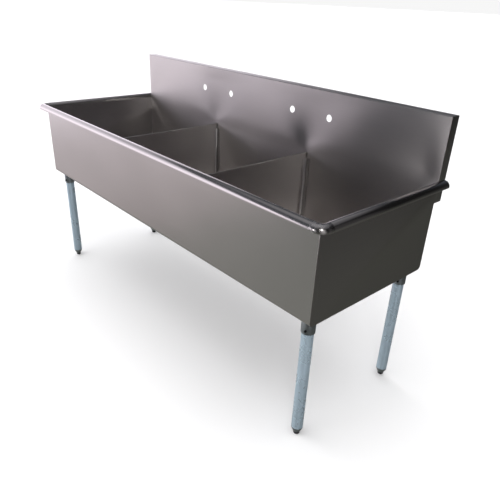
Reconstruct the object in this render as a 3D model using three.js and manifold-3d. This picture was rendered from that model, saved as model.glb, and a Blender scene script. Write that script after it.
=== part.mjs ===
// A three compartment sink in stainless sheet, on four galvanised tube legs with levelling feet.
// Millimetres, +Z up, the front towards -Y. The origin is on the floor under the middle of the sink.

import * as THREE from 'three';
import { mergeVertices } from 'three/addons/utils/BufferGeometryUtils.js';
import Module from 'manifold-3d';

const wasm = await Module();
wasm.setup();

// ---- Driving dimensions ----

const weldGap = 0.3;               // left between pieces that are welded or pressed together
const runningGap = 0.4;            // radial clearance of a piece that slips into another

const sheet = 1.5;                 // thickness of every stainless sheet
const bowlWidth = 609.6;           // centre to centre of neighbouring bowls
const bodyDepth = 609.6;           // front face to the face of the splash
const rimHeight = 850;             // crown of the rim above the floor
const bowlDepth = 352;             // underside of the bowls to the crown of the rim
const floorBendRadius = 15.25;     // middle of the sheet, front and back edges of the bowl floor

const rimRadius = 19.05;           // middle of the sheet in the rolled rim
const rimLip = 3;                  // straight lip below the half round
const rimCornerStub = 12;          // straight length at each side of a welded rim corner
const rimRunPast = 8.5;            // how far an end rim runs on behind the face of the splash

const splashHeight = 211;          // top of the splash above the crown of the rim
const splashReturn = 44.45;        // depth of the top and side returns behind the face
const splashBendRadius = 3;
const earDrop = 90;                // foot of the side return below the crown of the rim

const faucetHoleDiameter = 28.6;
const faucetHoleSpacing = 203.2;
const faucetHoleDrop = 102;        // hole centres below the top of the splash

const dividerDrop = 51;            // top of a divider below the crown of the rim
const dividerCoveRadius = 13.75;   // middle of the sheet, upright corners at front and back
const dividerFlange = 8;           // flat of the flange that is welded to the wall
const hemDepth = 24;
const hemRadius = 2.25;            // middle of the sheet in the folded top edge

const legTubeDiameter = 41.3;
const legTubeWall = 1.6;
const legInsetX = 44.5;            // leg axis from the outside of the end panel
const legInsetY = 50.8;            // leg axis from the front face, and from the splash face
const legPlateSize = 66;
const legPlateThickness = 2.5;
const legPlateCorner = 8;
const socketWall = 3;
const socketLength = 57;
const socketChamfer = 2.5;
const tubeEndHeight = 33;          // lower end of a leg tube above the floor

const setScrewDiameter = 8;
const setScrewLength = 7.5;
const setScrewKey = 4;             // across the corners of the key recess
const setScrewKeyDepth = 3;
const setScrewDrop = 40;           // screw axis below the top of its socket
const setScrewTurn = 20;           // degrees from straight forwards, towards the right

const insertPlugLength = 45;
const insertNoseDiameter = 26;
const insertShoulder = 4;
const insertWeb = 1;               // gap between the insert and the foot when fully screwed in
const footDiameter = 22;
const footHeight = 11;
const footChamfer = 2;
const footStudDiameter = 12;
const footStudLength = 45;

const drainHoleDiameter = 89;
const drainFlangeDiameter = 114;
const drainFlangeThickness = 2.5;
const drainFlangeBevel = 1.5;
const drainWall = 2;
const drainCupDepth = 34;          // below the underside of the bowl
const drainConeDrop = 6;
const drainCupClearance = 2.5;     // between the cup and the edge of its hole
const drainSeatDepth = 8;          // basket seat below the underside of the bowl
const drainSeatWidth = 2.5;
const spigotStep = 0.95;          // spigot beyond the flange of the tailpiece
const spigotWall = 4;
const spigotLength = 25;
const gasketWidth = 11;
const gasketThickness = 4;
const lockNutWidth = 13.5;
const lockNutThickness = 10;
const lockNutLugs = 8;
const lockNutLugHeight = 4;

const basketWall = 1.5;
const basketDepth = 22;
const basketTaper = 2;
const basketHoles = 8;
const basketHoleDiameter = 8;
const basketPostRadius = 3.5;
const basketKnobRadius = 8;
const basketKnobHeight = 6;
const basketPostRise = 10;         // post above the rim of the basket

const tailDiameter = 38.1;
const tailWall = 1.5;
const tailFlangeWidth = 3;
const tailFlangeThickness = 2;
const tailLength = 96;
const couplingWall = 5;
const couplingHeight = 16;
const couplingShoulder = 3;
const couplingRibs = 12;
const couplingRibHeight = 1.6;

const roundSides = 20;             // sides of every round piece, a multiple of four
const quarterSteps = 6;            // straight steps in a quarter bend of sheet

// ---- Places worked out from them ----

const bowls = [-1, 0, 1];
const sides = { left: -1, right: 1 };
const bodyLength = bowls.length * bowlWidth + 2 * sheet;
const innerEndX = bodyLength / 2 - sheet;
const rimProjection = 2 * rimRadius;
const frontY = rimProjection - (rimProjection + bodyDepth + splashReturn) / 2;
const splashY = frontY + bodyDepth;
const returnY = splashY + splashReturn;
const undersideZ = rimHeight - bowlDepth;
const bowlFloorZ = undersideZ + sheet;
const rimCentreZ = rimHeight - rimRadius - sheet / 2;
const splashTopZ = rimHeight + splashHeight;
const earFootZ = rimHeight - earDrop;
const dividerTopZ = rimHeight - dividerDrop;
const bowlMiddleY = (frontY + splashY) / 2;
const floorBendInside = floorBendRadius - sheet / 2;
const floorBendOutside = floorBendRadius + sheet / 2;

const legX = bodyLength / 2 - legInsetX;
const legPlaces = {
  front_left: [-legX, frontY + legInsetY],
  front_right: [legX, frontY + legInsetY],
  rear_left: [-legX, splashY - legInsetY],
  rear_right: [legX, splashY - legInsetY],
};
const plateZ = undersideZ - weldGap - legPlateThickness;
const socketTopZ = plateZ - weldGap;
const tubeRadius = legTubeDiameter / 2;
const socketBore = tubeRadius + runningGap;
const socketRadius = socketBore + socketWall;
const studRadius = footStudDiameter / 2;

const drainCupRadius = drainHoleDiameter / 2 - drainCupClearance;
const drainCupBore = drainCupRadius - drainWall;
const drainSeatRadius = drainCupBore - drainSeatWidth;
const spigotEndZ = undersideZ - drainCupDepth - drainConeDrop - spigotLength;
const gasketZ = undersideZ - weldGap - gasketThickness;
const tailFlangeZ = spigotEndZ - weldGap - tailFlangeThickness;
const tailFlangeRadius = tailDiameter / 2 + tailFlangeWidth;
const spigotRadius = tailFlangeRadius + spigotStep;

// ---- Finishes ----

const stainless = new THREE.MeshStandardMaterial({ color: 0xb3aeac, roughness: 0.32, metalness: 1 });
const polished = new THREE.MeshStandardMaterial({ color: 0xc8c4c2, roughness: 0.16, metalness: 1 });
const galvanised = new THREE.MeshStandardMaterial({ color: 0x9da3aa, roughness: 0.5, metalness: 1 });
const zinc = new THREE.MeshStandardMaterial({ color: 0xa9a9a4, roughness: 0.42, metalness: 1 });
const darkPlastic = new THREE.MeshStandardMaterial({ color: 0x24252a, roughness: 0.6, metalness: 0 });
const rubber = new THREE.MeshStandardMaterial({ color: 0x1b1b1c, roughness: 0.85, metalness: 0 });
const blackSteel = new THREE.MeshStandardMaterial({ color: 0x2c2c2e, roughness: 0.4, metalness: 1 });
const chrome = new THREE.MeshStandardMaterial({ color: 0xd6d8da, roughness: 0.12, metalness: 1 });

// ---- Solids ----

// Vertices are put on a fine grid, so that faces meant to meet are exactly in one plane.
const grid = 1e-4;

function toSolid(geometry) {
  const bare = geometry.clone();
  bare.deleteAttribute('normal');
  bare.deleteAttribute('uv');
  const places = bare.attributes.position.array;
  places.forEach((value, i) => {
    places[i] = Math.round(value / grid) * grid;
  });
  const merged = mergeVertices(bare, grid);
  const corners = merged.index.array;
  const kept = [];
  for (let i = 0; i < corners.length; i += 3) {
    const [a, b, c] = corners.slice(i, i + 3);
    if (a !== b && b !== c && c !== a) {
      kept.push(a, b, c);
    }
  }
  const mesh = new wasm.Mesh({
    numProp: 3,
    vertProperties: merged.attributes.position.array,
    triVerts: Uint32Array.from(kept),
  });
  return new wasm.Manifold(mesh);
}

function toGeometry(solid) {
  const mesh = solid.getMesh();
  const geometry = new THREE.BufferGeometry();
  geometry.setAttribute('position', new THREE.BufferAttribute(mesh.vertProperties, 3));
  geometry.setIndex(new THREE.BufferAttribute(mesh.triVerts, 1));
  geometry.computeVertexNormals();
  return geometry;
}

function named(name, solid, material) {
  const mesh = new THREE.Mesh(toGeometry(solid), material);
  mesh.name = name;
  return mesh;
}

function block(x0, x1, y0, y1, z0, z1) {
  const box = new THREE.BoxGeometry(x1 - x0, y1 - y0, z1 - z0);
  box.translate((x0 + x1) / 2, (y0 + y1) / 2, (z0 + z1) / 2);
  return toSolid(box);
}

// A flat shape in Y and Z, given its thickness along X.
function extrudeX(shape, x0, x1) {
  const geometry = new THREE.ExtrudeGeometry(shape, { depth: x1 - x0, bevelEnabled: false });
  const turn = new THREE.Matrix4().makeBasis(
    new THREE.Vector3(0, 1, 0),
    new THREE.Vector3(0, 0, 1),
    new THREE.Vector3(1, 0, 0),
  );
  geometry.applyMatrix4(turn);
  geometry.translate(x0, 0, 0);
  return toSolid(geometry);
}

// A flat shape in X and Z, given its thickness along Y.
function extrudeY(shape, y0, y1) {
  const geometry = new THREE.ExtrudeGeometry(shape, { depth: y1 - y0, bevelEnabled: false });
  geometry.rotateX(Math.PI / 2);
  geometry.translate(0, y1, 0);
  return toSolid(geometry);
}

// A flat shape in X and Y, given its thickness along Z.
function extrudeZ(shape, z0, z1) {
  const geometry = new THREE.ExtrudeGeometry(shape, { depth: z1 - z0, bevelEnabled: false });
  geometry.translate(0, 0, z0);
  return toSolid(geometry);
}

// A profile of [radius, height] points turned about the Z axis. A ring's profile is closed here, and
// a solid piece's starts and ends on the axis. The points run anticlockwise.
function turned(profile, segments = roundSides) {
  const onAxis = profile[0][0] === 0;
  const points = profile.map(([radius, height]) => new THREE.Vector2(radius, height));
  if (!onAxis) {
    points.push(points[0].clone());
  }
  const geometry = new THREE.LatheGeometry(points, segments);
  geometry.rotateX(Math.PI / 2);
  return toSolid(geometry);
}

function place(solid, x, y, z = 0) {
  return solid.translate([x, y, z]);
}

// The middle of a bent sheet: corner points as [u, v, bend radius]. Each bend is a short run of
// straight steps, and every point carries the direction across the sheet.
function bentLine(corners) {
  const line = [];
  const points = corners.map(([u, v]) => new THREE.Vector2(u, v));
  const across = (direction) => new THREE.Vector2(-direction.y, direction.x);
  const add = (point, normal) => {
    const last = line.at(-1);
    if (!last || last.point.distanceTo(point) > grid) {
      line.push({ point, normal });
    }
  };
  corners.forEach(([, , radius = 0], i) => {
    const before = points[i].clone().sub(points[Math.max(i - 1, 0)]).normalize();
    const after = points[Math.min(i + 1, points.length - 1)].clone().sub(points[i]).normalize();
    if (i === 0 || i === corners.length - 1) {
      add(points[i], across(i === 0 ? after : before));
      return;
    }
    const turn = Math.atan2(before.cross(after), before.dot(after));
    const start = points[i].clone().addScaledVector(before, -radius * Math.tan(Math.abs(turn) / 2));
    const centre = start.clone().addScaledVector(across(before), Math.sign(turn) * radius);
    const steps = Math.ceil((quarterSteps * Math.abs(turn)) / (Math.PI / 2));
    for (let step = 0; step <= steps; step += 1) {
      const normal = across(before).rotateAround(new THREE.Vector2(), (turn * step) / steps);
      add(centre.clone().addScaledVector(normal, -Math.sign(turn) * radius), normal);
    }
  });
  return line;
}

// The section of a bent sheet, as a closed outline.
function sheetSection(corners) {
  const line = bentLine(corners);
  const offset = (distance) => line.map(({ point, normal }) => point.clone().addScaledVector(normal, distance));
  return new THREE.Shape([...offset(sheet / 2), ...offset(-sheet / 2).reverse()]);
}

// ---- Sheet body ----

// The rolled rim in section, from the top of its wall outwards and down to the lip.
function rimCorners(wall, outwards, rootZ) {
  const crown = rimCentreZ + rimRadius;
  return [
    [wall, rootZ],
    [wall, crown, rimRadius],
    [wall + outwards * rimProjection, crown, rimRadius],
    [wall + outwards * rimProjection, rimCentreZ - rimLip],
  ];
}

function faucetHoles() {
  const length = 4 * sheet;
  return [-1, 1].flatMap((divider) => [-1, 1].map((hole) => {
    const cutter = new THREE.CylinderGeometry(faucetHoleDiameter / 2, faucetHoleDiameter / 2, length, roundSides);
    const x = (divider * bowlWidth) / 2 + (hole * faucetHoleSpacing) / 2;
    cutter.translate(x, splashY + sheet / 2, splashTopZ - faucetHoleDrop);
    return toSolid(cutter);
  }));
}

function drainHoles() {
  const radius = drainHoleDiameter / 2;
  const profile = [[0, -sheet], [radius, -sheet], [radius, 2 * sheet], [0, 2 * sheet]];
  return bowls.map((bowl) => place(turned(profile), bowl * bowlWidth, bowlMiddleY, undersideZ));
}

// Room at the two front corners, where the rim is a separate welded piece: above the wall, and
// down past the lip in front of it.
function rimCornerRoom() {
  const high = rimCentreZ + 2 * rimProjection;
  return Object.values(sides).flatMap((side) => {
    const near = side * (innerEndX - rimCornerStub - weldGap);
    const far = side * bodyLength;
    const x = [Math.min(near, far), Math.max(near, far)];
    return [
      block(...x, frontY - 2 * rimProjection, frontY + 2 * sheet, rimCentreZ - weldGap, high),
      block(...x, frontY - 2 * rimProjection, frontY - sheet, rimCentreZ - 2 * rimLip, high),
    ];
  });
}

// One sheet: rim lip, rolled rim, front wall, bowl floor, back wall, splash and top return.
function bowlWrap() {
  const front = frontY + sheet / 2;
  const back = splashY + sheet / 2;
  const floor = undersideZ + sheet / 2;
  const top = splashTopZ - sheet / 2;
  const rim = rimCorners(front, -1, 0).slice(1).reverse();
  const section = sheetSection([
    ...rim,
    [front, floor, floorBendRadius],
    [back, floor, floorBendRadius],
    [back, top, splashBendRadius],
    [returnY, top],
  ]);
  const reach = innerEndX - weldGap;
  const cuts = [...faucetHoles(), ...drainHoles(), ...rimCornerRoom()];
  return cuts.reduce((body, cut) => body.subtract(cut), extrudeX(section, -reach, reach));
}

// Flat end with its rolled rim, and the ear that closes the end of the splash.
function endPanel(side) {
  const rimStart = frontY + sheet + rimCornerStub + weldGap;
  const back = splashY + sheet;
  const outline = new THREE.Shape();
  outline.moveTo(frontY, rimCentreZ - weldGap);
  outline.lineTo(frontY, undersideZ + floorBendOutside);
  outline.absarc(
    frontY + floorBendOutside, undersideZ + floorBendOutside, floorBendOutside,
    Math.PI, 1.5 * Math.PI, false,
  );
  outline.absarc(
    back - floorBendOutside, undersideZ + floorBendOutside, floorBendOutside,
    1.5 * Math.PI, 2 * Math.PI, false,
  );
  outline.lineTo(back, earFootZ);
  outline.lineTo(returnY, earFootZ);
  outline.lineTo(returnY, splashTopZ);
  outline.lineTo(splashY, splashTopZ);
  outline.lineTo(splashY, rimCentreZ);
  outline.lineTo(rimStart, rimCentreZ);
  outline.lineTo(rimStart, rimCentreZ - weldGap);
  const points = new THREE.Shape(outline.getPoints(quarterSteps));
  const inner = side * innerEndX;
  const outer = (side * bodyLength) / 2;
  const flat = extrudeX(points, Math.min(inner, outer), Math.max(inner, outer));
  const root = rimCentreZ - rimLip;
  const rim = sheetSection(rimCorners((inner + outer) / 2, side, root));
  return flat.add(extrudeY(rim, rimStart, splashY + rimRunPast));
}

// Half round swept through a quarter turn about the upright inside corner, with a short straight
// piece at each side. It is shaped about the origin and then moved to its corner.
function rimCorner(side) {
  const section = sheetSection(rimCorners(sheet / 2, 1, rimCentreZ)).getPoints();
  const ring = turned(section.map((point) => [point.x, point.y]).reverse(), 2 * roundSides);
  const reach = 2 * rimProjection;
  const low = rimCentreZ - reach;
  const high = rimCentreZ + reach;
  const quarter = ring.intersect(block(Math.min(0, side * reach), Math.max(0, side * reach), -reach, 0, low, high));
  const alongFront = extrudeX(
    sheetSection(rimCorners(-sheet / 2, -1, rimCentreZ)),
    Math.min(0, -side * rimCornerStub), Math.max(0, -side * rimCornerStub),
  );
  const alongEnd = extrudeY(sheetSection(rimCorners((side * sheet) / 2, side, rimCentreZ)), 0, rimCornerStub);
  return place(quarter.add(alongFront).add(alongEnd), side * innerEndX, frontY + sheet);
}

// Upright sheet with a hem along its whole top, and below it a coved flange at front and back.
function divider(side) {
  const x = (side * bowlWidth) / 2;
  const front = frontY + sheet + weldGap;
  const back = splashY - weldGap;
  const foot = bowlFloorZ + weldGap;
  const coveFoot = bowlFloorZ + floorBendInside + weldGap;
  const web = dividerCoveRadius + sheet / 2;
  const corner = floorBendInside;
  const outline = new THREE.Shape();
  outline.moveTo(front, coveFoot);
  outline.absarc(front + corner, foot + corner, corner, Math.PI, 1.5 * Math.PI, false);
  outline.absarc(back - corner, foot + corner, corner, 1.5 * Math.PI, 2 * Math.PI, false);
  outline.lineTo(back, coveFoot);
  outline.lineTo(back - web, coveFoot);
  outline.lineTo(back - web, dividerTopZ - hemDepth / 2);
  outline.lineTo(front + web, dividerTopZ - hemDepth / 2);
  outline.lineTo(front + web, coveFoot);
  const flat = extrudeX(new THREE.Shape(outline.getPoints(quarterSteps)), x - sheet / 2, x + sheet / 2);
  const flangeX = x + dividerCoveRadius + dividerFlange;
  const coves = extrudeZ(sheetSection([
    [flangeX, front + sheet / 2],
    [x, front + sheet / 2, dividerCoveRadius],
    [x, back - sheet / 2, dividerCoveRadius],
    [flangeX, back - sheet / 2],
  ]), coveFoot, dividerTopZ - hemDepth);
  const top = dividerTopZ - sheet / 2;
  const hem = extrudeY(sheetSection([
    [x, dividerTopZ - hemDepth],
    [x, top, hemRadius],
    [x + 2 * hemRadius, top, hemRadius],
    [x + 2 * hemRadius, dividerTopZ - hemDepth],
  ]), front, back);
  return flat.add(coves).add(hem);
}

function sheetBody() {
  const group = new THREE.Group();
  group.add(named('bowl_wrap', bowlWrap(), stainless));
  for (const [name, side] of Object.entries(sides)) {
    group.add(named(`${name}_end_panel`, endPanel(side), stainless));
    group.add(named(`${name}_rim_corner`, rimCorner(side), polished));
    group.add(named(`${name}_divider`, divider(side), stainless));
  }
  return group;
}

// ---- Legs ----

function legPlate() {
  const half = legPlateSize / 2;
  const near = half - legPlateCorner;
  const outline = new THREE.Shape();
  outline.absarc(near, near, legPlateCorner, 0, Math.PI / 2, false);
  outline.absarc(-near, near, legPlateCorner, Math.PI / 2, Math.PI, false);
  outline.absarc(-near, -near, legPlateCorner, Math.PI, 1.5 * Math.PI, false);
  outline.absarc(near, -near, legPlateCorner, 1.5 * Math.PI, 2 * Math.PI, false);
  const points = new THREE.Shape(outline.getPoints(quarterSteps / 2));
  return extrudeZ(points, plateZ, plateZ + legPlateThickness);
}

// A cylinder from the leg's axis outwards, along the line of the set screw.
function screwBar(radius, start, length, segments) {
  const bar = new THREE.CylinderGeometry(radius, radius, length, segments);
  bar.translate(0, -(start + length / 2), 0);
  bar.rotateZ(THREE.MathUtils.degToRad(setScrewTurn));
  bar.translate(0, 0, socketTopZ - setScrewDrop);
  return toSolid(bar);
}

function legSocket() {
  const low = socketTopZ - socketLength;
  const ring = turned([
    [socketBore, low],
    [socketRadius - socketChamfer, low],
    [socketRadius, low + socketChamfer],
    [socketRadius, socketTopZ],
    [socketBore, socketTopZ],
  ]);
  const hole = screwBar(setScrewDiameter / 2 + weldGap, tubeRadius / 2, socketRadius, roundSides / 2);
  return ring.subtract(hole);
}

function setScrew() {
  const start = tubeRadius + weldGap;
  const shank = screwBar(setScrewDiameter / 2, start, setScrewLength, roundSides / 2);
  const keyStart = start + setScrewLength - setScrewKeyDepth;
  return shank.subtract(screwBar(setScrewKey / 2, keyStart, 2 * setScrewKeyDepth, 6));
}

function legTube() {
  const bore = tubeRadius - legTubeWall;
  const top = socketTopZ - weldGap;
  return turned([[bore, tubeEndHeight], [tubeRadius, tubeEndHeight], [tubeRadius, top], [bore, top]]);
}

// A plug pressed into the tube, with a tapered nose below it and a threaded bore for the foot.
function footInsert() {
  const plug = tubeRadius - legTubeWall - weldGap;
  const bore = studRadius + runningGap;
  const shoulder = tubeEndHeight - weldGap;
  const nose = insertNoseDiameter / 2;
  return turned([
    [bore, footHeight + insertWeb],
    [nose, footHeight + insertWeb],
    [tubeRadius, shoulder - insertShoulder],
    [tubeRadius, shoulder],
    [plug, shoulder],
    [plug, shoulder + insertPlugLength],
    [bore, shoulder + insertPlugLength],
  ]);
}

function foot() {
  const radius = footDiameter / 2;
  return turned([
    [0, 0],
    [radius - footChamfer, 0],
    [radius, footChamfer],
    [radius, footHeight],
    [studRadius, footHeight],
    [studRadius, footHeight + footStudLength],
    [0, footHeight + footStudLength],
  ]);
}

function leg(name, x, y) {
  const group = new THREE.Group();
  group.position.set(x, y, 0);
  group.add(named(`${name}_leg_plate`, legPlate(), stainless));
  group.add(named(`${name}_leg_socket`, legSocket(), galvanised));
  group.add(named(`${name}_set_screw`, setScrew(), blackSteel));
  group.add(named(`${name}_leg_tube`, legTube(), galvanised));
  group.add(named(`${name}_foot_insert`, footInsert(), zinc));
  group.add(named(`${name}_foot`, foot(), darkPlastic));
  return group;
}

// ---- Drains ----

// Flange on the bowl floor, cup through the hole, cone and threaded spigot, open all the way down.
function drainBody() {
  const under = bowlFloorZ + weldGap;
  const top = under + drainFlangeThickness;
  const cupZ = undersideZ - drainCupDepth;
  const seatZ = undersideZ - drainSeatDepth;
  const flange = drainFlangeDiameter / 2;
  const bore = spigotRadius - spigotWall;
  const coneZ = cupZ - drainConeDrop;
  return turned([
    [bore, spigotEndZ],
    [spigotRadius, spigotEndZ],
    [spigotRadius, coneZ],
    [drainCupRadius, cupZ],
    [drainCupRadius, under],
    [flange, under],
    [flange - drainFlangeBevel, top],
    [drainCupBore, top],
    [drainCupBore, seatZ],
    [drainSeatRadius, seatZ],
    [drainSeatRadius, cupZ + drainWall],
    [bore, coneZ + drainWall],
  ]);
}

function drainGasket() {
  const bore = drainCupRadius + runningGap;
  const rim = bore + gasketWidth;
  return turned([[bore, gasketZ], [rim, gasketZ], [rim, gasketZ + gasketThickness], [bore, gasketZ + gasketThickness]]);
}

// A flat ring whose outside carries evenly spaced lugs.
function luggedRing(bore, body, lugs, lugHeight) {
  const outline = new THREE.Shape();
  const pitch = (2 * Math.PI) / lugs;
  for (let lug = 0; lug < lugs; lug += 1) {
    const start = lug * pitch;
    outline.absarc(0, 0, body + lugHeight, start, start + pitch / 3, false);
    outline.absarc(0, 0, body, start + pitch / 2, start + (5 * pitch) / 6, false);
  }
  const points = new THREE.Shape(outline.getPoints(1));
  const hole = new THREE.Path();
  hole.absarc(0, 0, bore, 0, 2 * Math.PI, true);
  points.holes.push(new THREE.Path(hole.getPoints(roundSides / 2).slice(0, -1)));
  return points;
}

function lockNut() {
  const bore = drainCupRadius + runningGap;
  const ring = luggedRing(bore, bore + lockNutWidth - lockNutLugHeight, lockNutLugs, lockNutLugHeight);
  const top = gasketZ - weldGap;
  return extrudeZ(ring, top - lockNutThickness, top);
}

// A lift-out strainer: perforated cup, rim that rests on the seat, and a post with a knob.
function strainerBasket() {
  const rimZ = undersideZ - drainSeatDepth + weldGap;
  const rimRadiusOut = drainCupBore - runningGap;
  const cup = drainSeatRadius - 2 * runningGap;
  const foot = cup - basketTaper;
  const low = rimZ - basketDepth;
  const knobZ = rimZ + basketPostRise;
  const basket = turned([
    [0, low],
    [foot, low],
    [cup, rimZ],
    [rimRadiusOut, rimZ],
    [rimRadiusOut, rimZ + basketWall],
    [cup - basketWall, rimZ + basketWall],
    [foot - basketWall, low + basketWall],
    [basketPostRadius, low + basketWall],
    [basketPostRadius, knobZ],
    [basketKnobRadius, knobZ],
    [basketKnobRadius, knobZ + basketKnobHeight],
    [0, knobZ + basketKnobHeight],
  ]);
  const ringRadius = (basketPostRadius + foot) / 2;
  const hole = basketHoleDiameter / 2;
  let cut = basket;
  for (let i = 0; i < basketHoles; i += 1) {
    const angle = (2 * Math.PI * i) / basketHoles;
    const drill = turned([[0, low - basketWall], [hole, low - basketWall], [hole, low + 2 * basketWall], [0, low + 2 * basketWall]], 8);
    cut = cut.subtract(place(drill, ringRadius * Math.cos(angle), ringRadius * Math.sin(angle)));
  }
  return cut;
}

function tailpiece() {
  const radius = tailDiameter / 2;
  const bore = radius - tailWall;
  const low = tailFlangeZ - tailLength;
  return turned([
    [bore, low],
    [radius, low],
    [radius, tailFlangeZ],
    [tailFlangeRadius, tailFlangeZ],
    [tailFlangeRadius, tailFlangeZ + tailFlangeThickness],
    [bore, tailFlangeZ + tailFlangeThickness],
  ]);
}

// Ribbed nut that draws the tailpiece up to the spigot.
function couplingNut() {
  const bore = spigotRadius + runningGap;
  const shoulderTop = tailFlangeZ - weldGap;
  const ring = luggedRing(bore, bore + couplingWall - couplingRibHeight, couplingRibs, couplingRibHeight);
  const shoulder = luggedRing(
    tailDiameter / 2 + runningGap, bore + couplingWall - couplingRibHeight, couplingRibs, couplingRibHeight,
  );
  const collar = extrudeZ(ring, shoulderTop, shoulderTop + couplingHeight);
  return collar.add(extrudeZ(shoulder, shoulderTop - couplingShoulder, shoulderTop));
}

function drain(name, bowl) {
  const group = new THREE.Group();
  group.position.set(bowl * bowlWidth, bowlMiddleY, 0);
  group.add(named(`${name}_drain_body`, drainBody(), polished));
  group.add(named(`${name}_drain_gasket`, drainGasket(), rubber));
  group.add(named(`${name}_drain_lock_nut`, lockNut(), zinc));
  group.add(named(`${name}_strainer_basket`, strainerBasket(), polished));
  group.add(named(`${name}_tailpiece`, tailpiece(), chrome));
  group.add(named(`${name}_coupling_nut`, couplingNut(), chrome));
  return group;
}

// ---- The whole sink ----

const sink = new THREE.Group();
sink.add(sheetBody());
for (const [name, [x, y]] of Object.entries(legPlaces)) {
  sink.add(leg(name, x, y));
}
['left', 'middle', 'right'].forEach((name, i) => sink.add(drain(name, bowls[i])));

export default sink;
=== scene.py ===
"""A three compartment sink in brushed stainless sheet, standing on galvanised tube legs.

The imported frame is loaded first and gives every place. Each sub-assembly is a class that holds its
own sizes, models its pieces in metres in that frame, and dresses them in their finishes.
"""

import logging
import math
from dataclasses import dataclass, field
from enum import Enum
from typing import Callable, Iterable, Sequence

import bmesh
import bpy
from mathutils import Matrix, Vector, noise


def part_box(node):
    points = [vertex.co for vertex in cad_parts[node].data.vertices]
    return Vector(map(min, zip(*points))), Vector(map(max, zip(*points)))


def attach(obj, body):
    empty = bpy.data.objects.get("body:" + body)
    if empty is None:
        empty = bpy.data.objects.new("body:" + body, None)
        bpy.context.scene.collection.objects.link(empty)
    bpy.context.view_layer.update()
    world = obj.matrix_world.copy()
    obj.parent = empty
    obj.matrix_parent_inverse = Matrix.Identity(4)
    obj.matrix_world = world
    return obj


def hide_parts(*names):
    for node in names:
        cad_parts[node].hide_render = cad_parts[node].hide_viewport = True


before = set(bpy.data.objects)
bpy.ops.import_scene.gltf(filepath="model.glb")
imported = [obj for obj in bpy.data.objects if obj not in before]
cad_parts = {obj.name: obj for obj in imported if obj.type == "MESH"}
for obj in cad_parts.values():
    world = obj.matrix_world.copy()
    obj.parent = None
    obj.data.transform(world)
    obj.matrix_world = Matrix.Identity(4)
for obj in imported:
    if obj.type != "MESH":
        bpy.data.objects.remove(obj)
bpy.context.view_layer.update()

LOG = logging.getLogger("sink")
MM = 0.001
STEEL_BODY = "sink_body"
SAME_PLACE = 1e-6

Socket = bpy.types.NodeSocket
Piece = bpy.types.Object
Colour = tuple[float, float, float]
Span = tuple[float, float]
Cloud = tuple[float, float, float]


# ---- Finishes ----


class Bench:
    """Puts shader nodes into a tree and joins them up."""

    def __init__(self, tree: bpy.types.NodeTree) -> None:
        """Take up a node tree."""
        self.tree = tree

    def made(self, kind: str, output: str | int, inputs: dict, **settings: str) -> Socket:
        """Add a node, give its sockets their values, and take one of its outputs.

        Args:
            kind: The node's type, without the first part that all shader nodes share.
            output: Name or number of the output that is taken.
            inputs: What each socket gets: a plain value, or a source to join.
            settings: The node's own settings.

        Returns:
            The output.
        """
        node = self.tree.nodes.new(f"ShaderNode{kind}")
        for key, value in settings.items():
            setattr(node, key, value)
        self.give(node, inputs)
        return node.outputs[output]

    def give(self, node: bpy.types.Node, inputs: dict) -> None:
        """Give a node's sockets their values.

        Args:
            node: The node.
            inputs: What each socket gets: a plain value, or a source to join.
        """
        for key, value in inputs.items():
            if isinstance(value, Socket):
                self.tree.links.new(value, node.inputs[key])
            else:
                node.inputs[key].default_value = value

    def ranged(self, value: Socket, low: float, high: float, to_low: float, to_high: float,
               kind: str = "LINEAR") -> Socket:
        """Carry a value from one range into another, held at both ends.

        Args:
            value: The value to carry over.
            low: Start of the range it comes from.
            high: End of the range it comes from.
            to_low: What low becomes.
            to_high: What high becomes.
            kind: How it runs between the two.

        Returns:
            The carried value.
        """
        ends = {"From Min": low, "From Max": high, "To Min": to_low, "To Max": to_high}
        return self.made("MapRange", "Result", {"Value": value, **ends}, interpolation_type=kind)

    def reckoned(self, kind: str, *values: Socket | float) -> Socket:
        """Reckon with values by the kind of sum that is named."""
        return self.made("Math", 0, dict(enumerate(values)), operation=kind)

    def blended(self, kind: str, factor: Socket | float, first: Socket | Sequence[float],
                second: Socket | Sequence[float]) -> Socket:
        """Mix or add two colours.

        Args:
            kind: The way of blending.
            factor: Share of the second colour.
            first: A colour, or where it comes from.
            second: The other colour.

        Returns:
            The blended colour.
        """
        inputs = {"Factor": factor, "A": first, "B": second}
        return self.made("Mix", "Result", inputs, data_type="RGBA", blend_type=kind)


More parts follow.
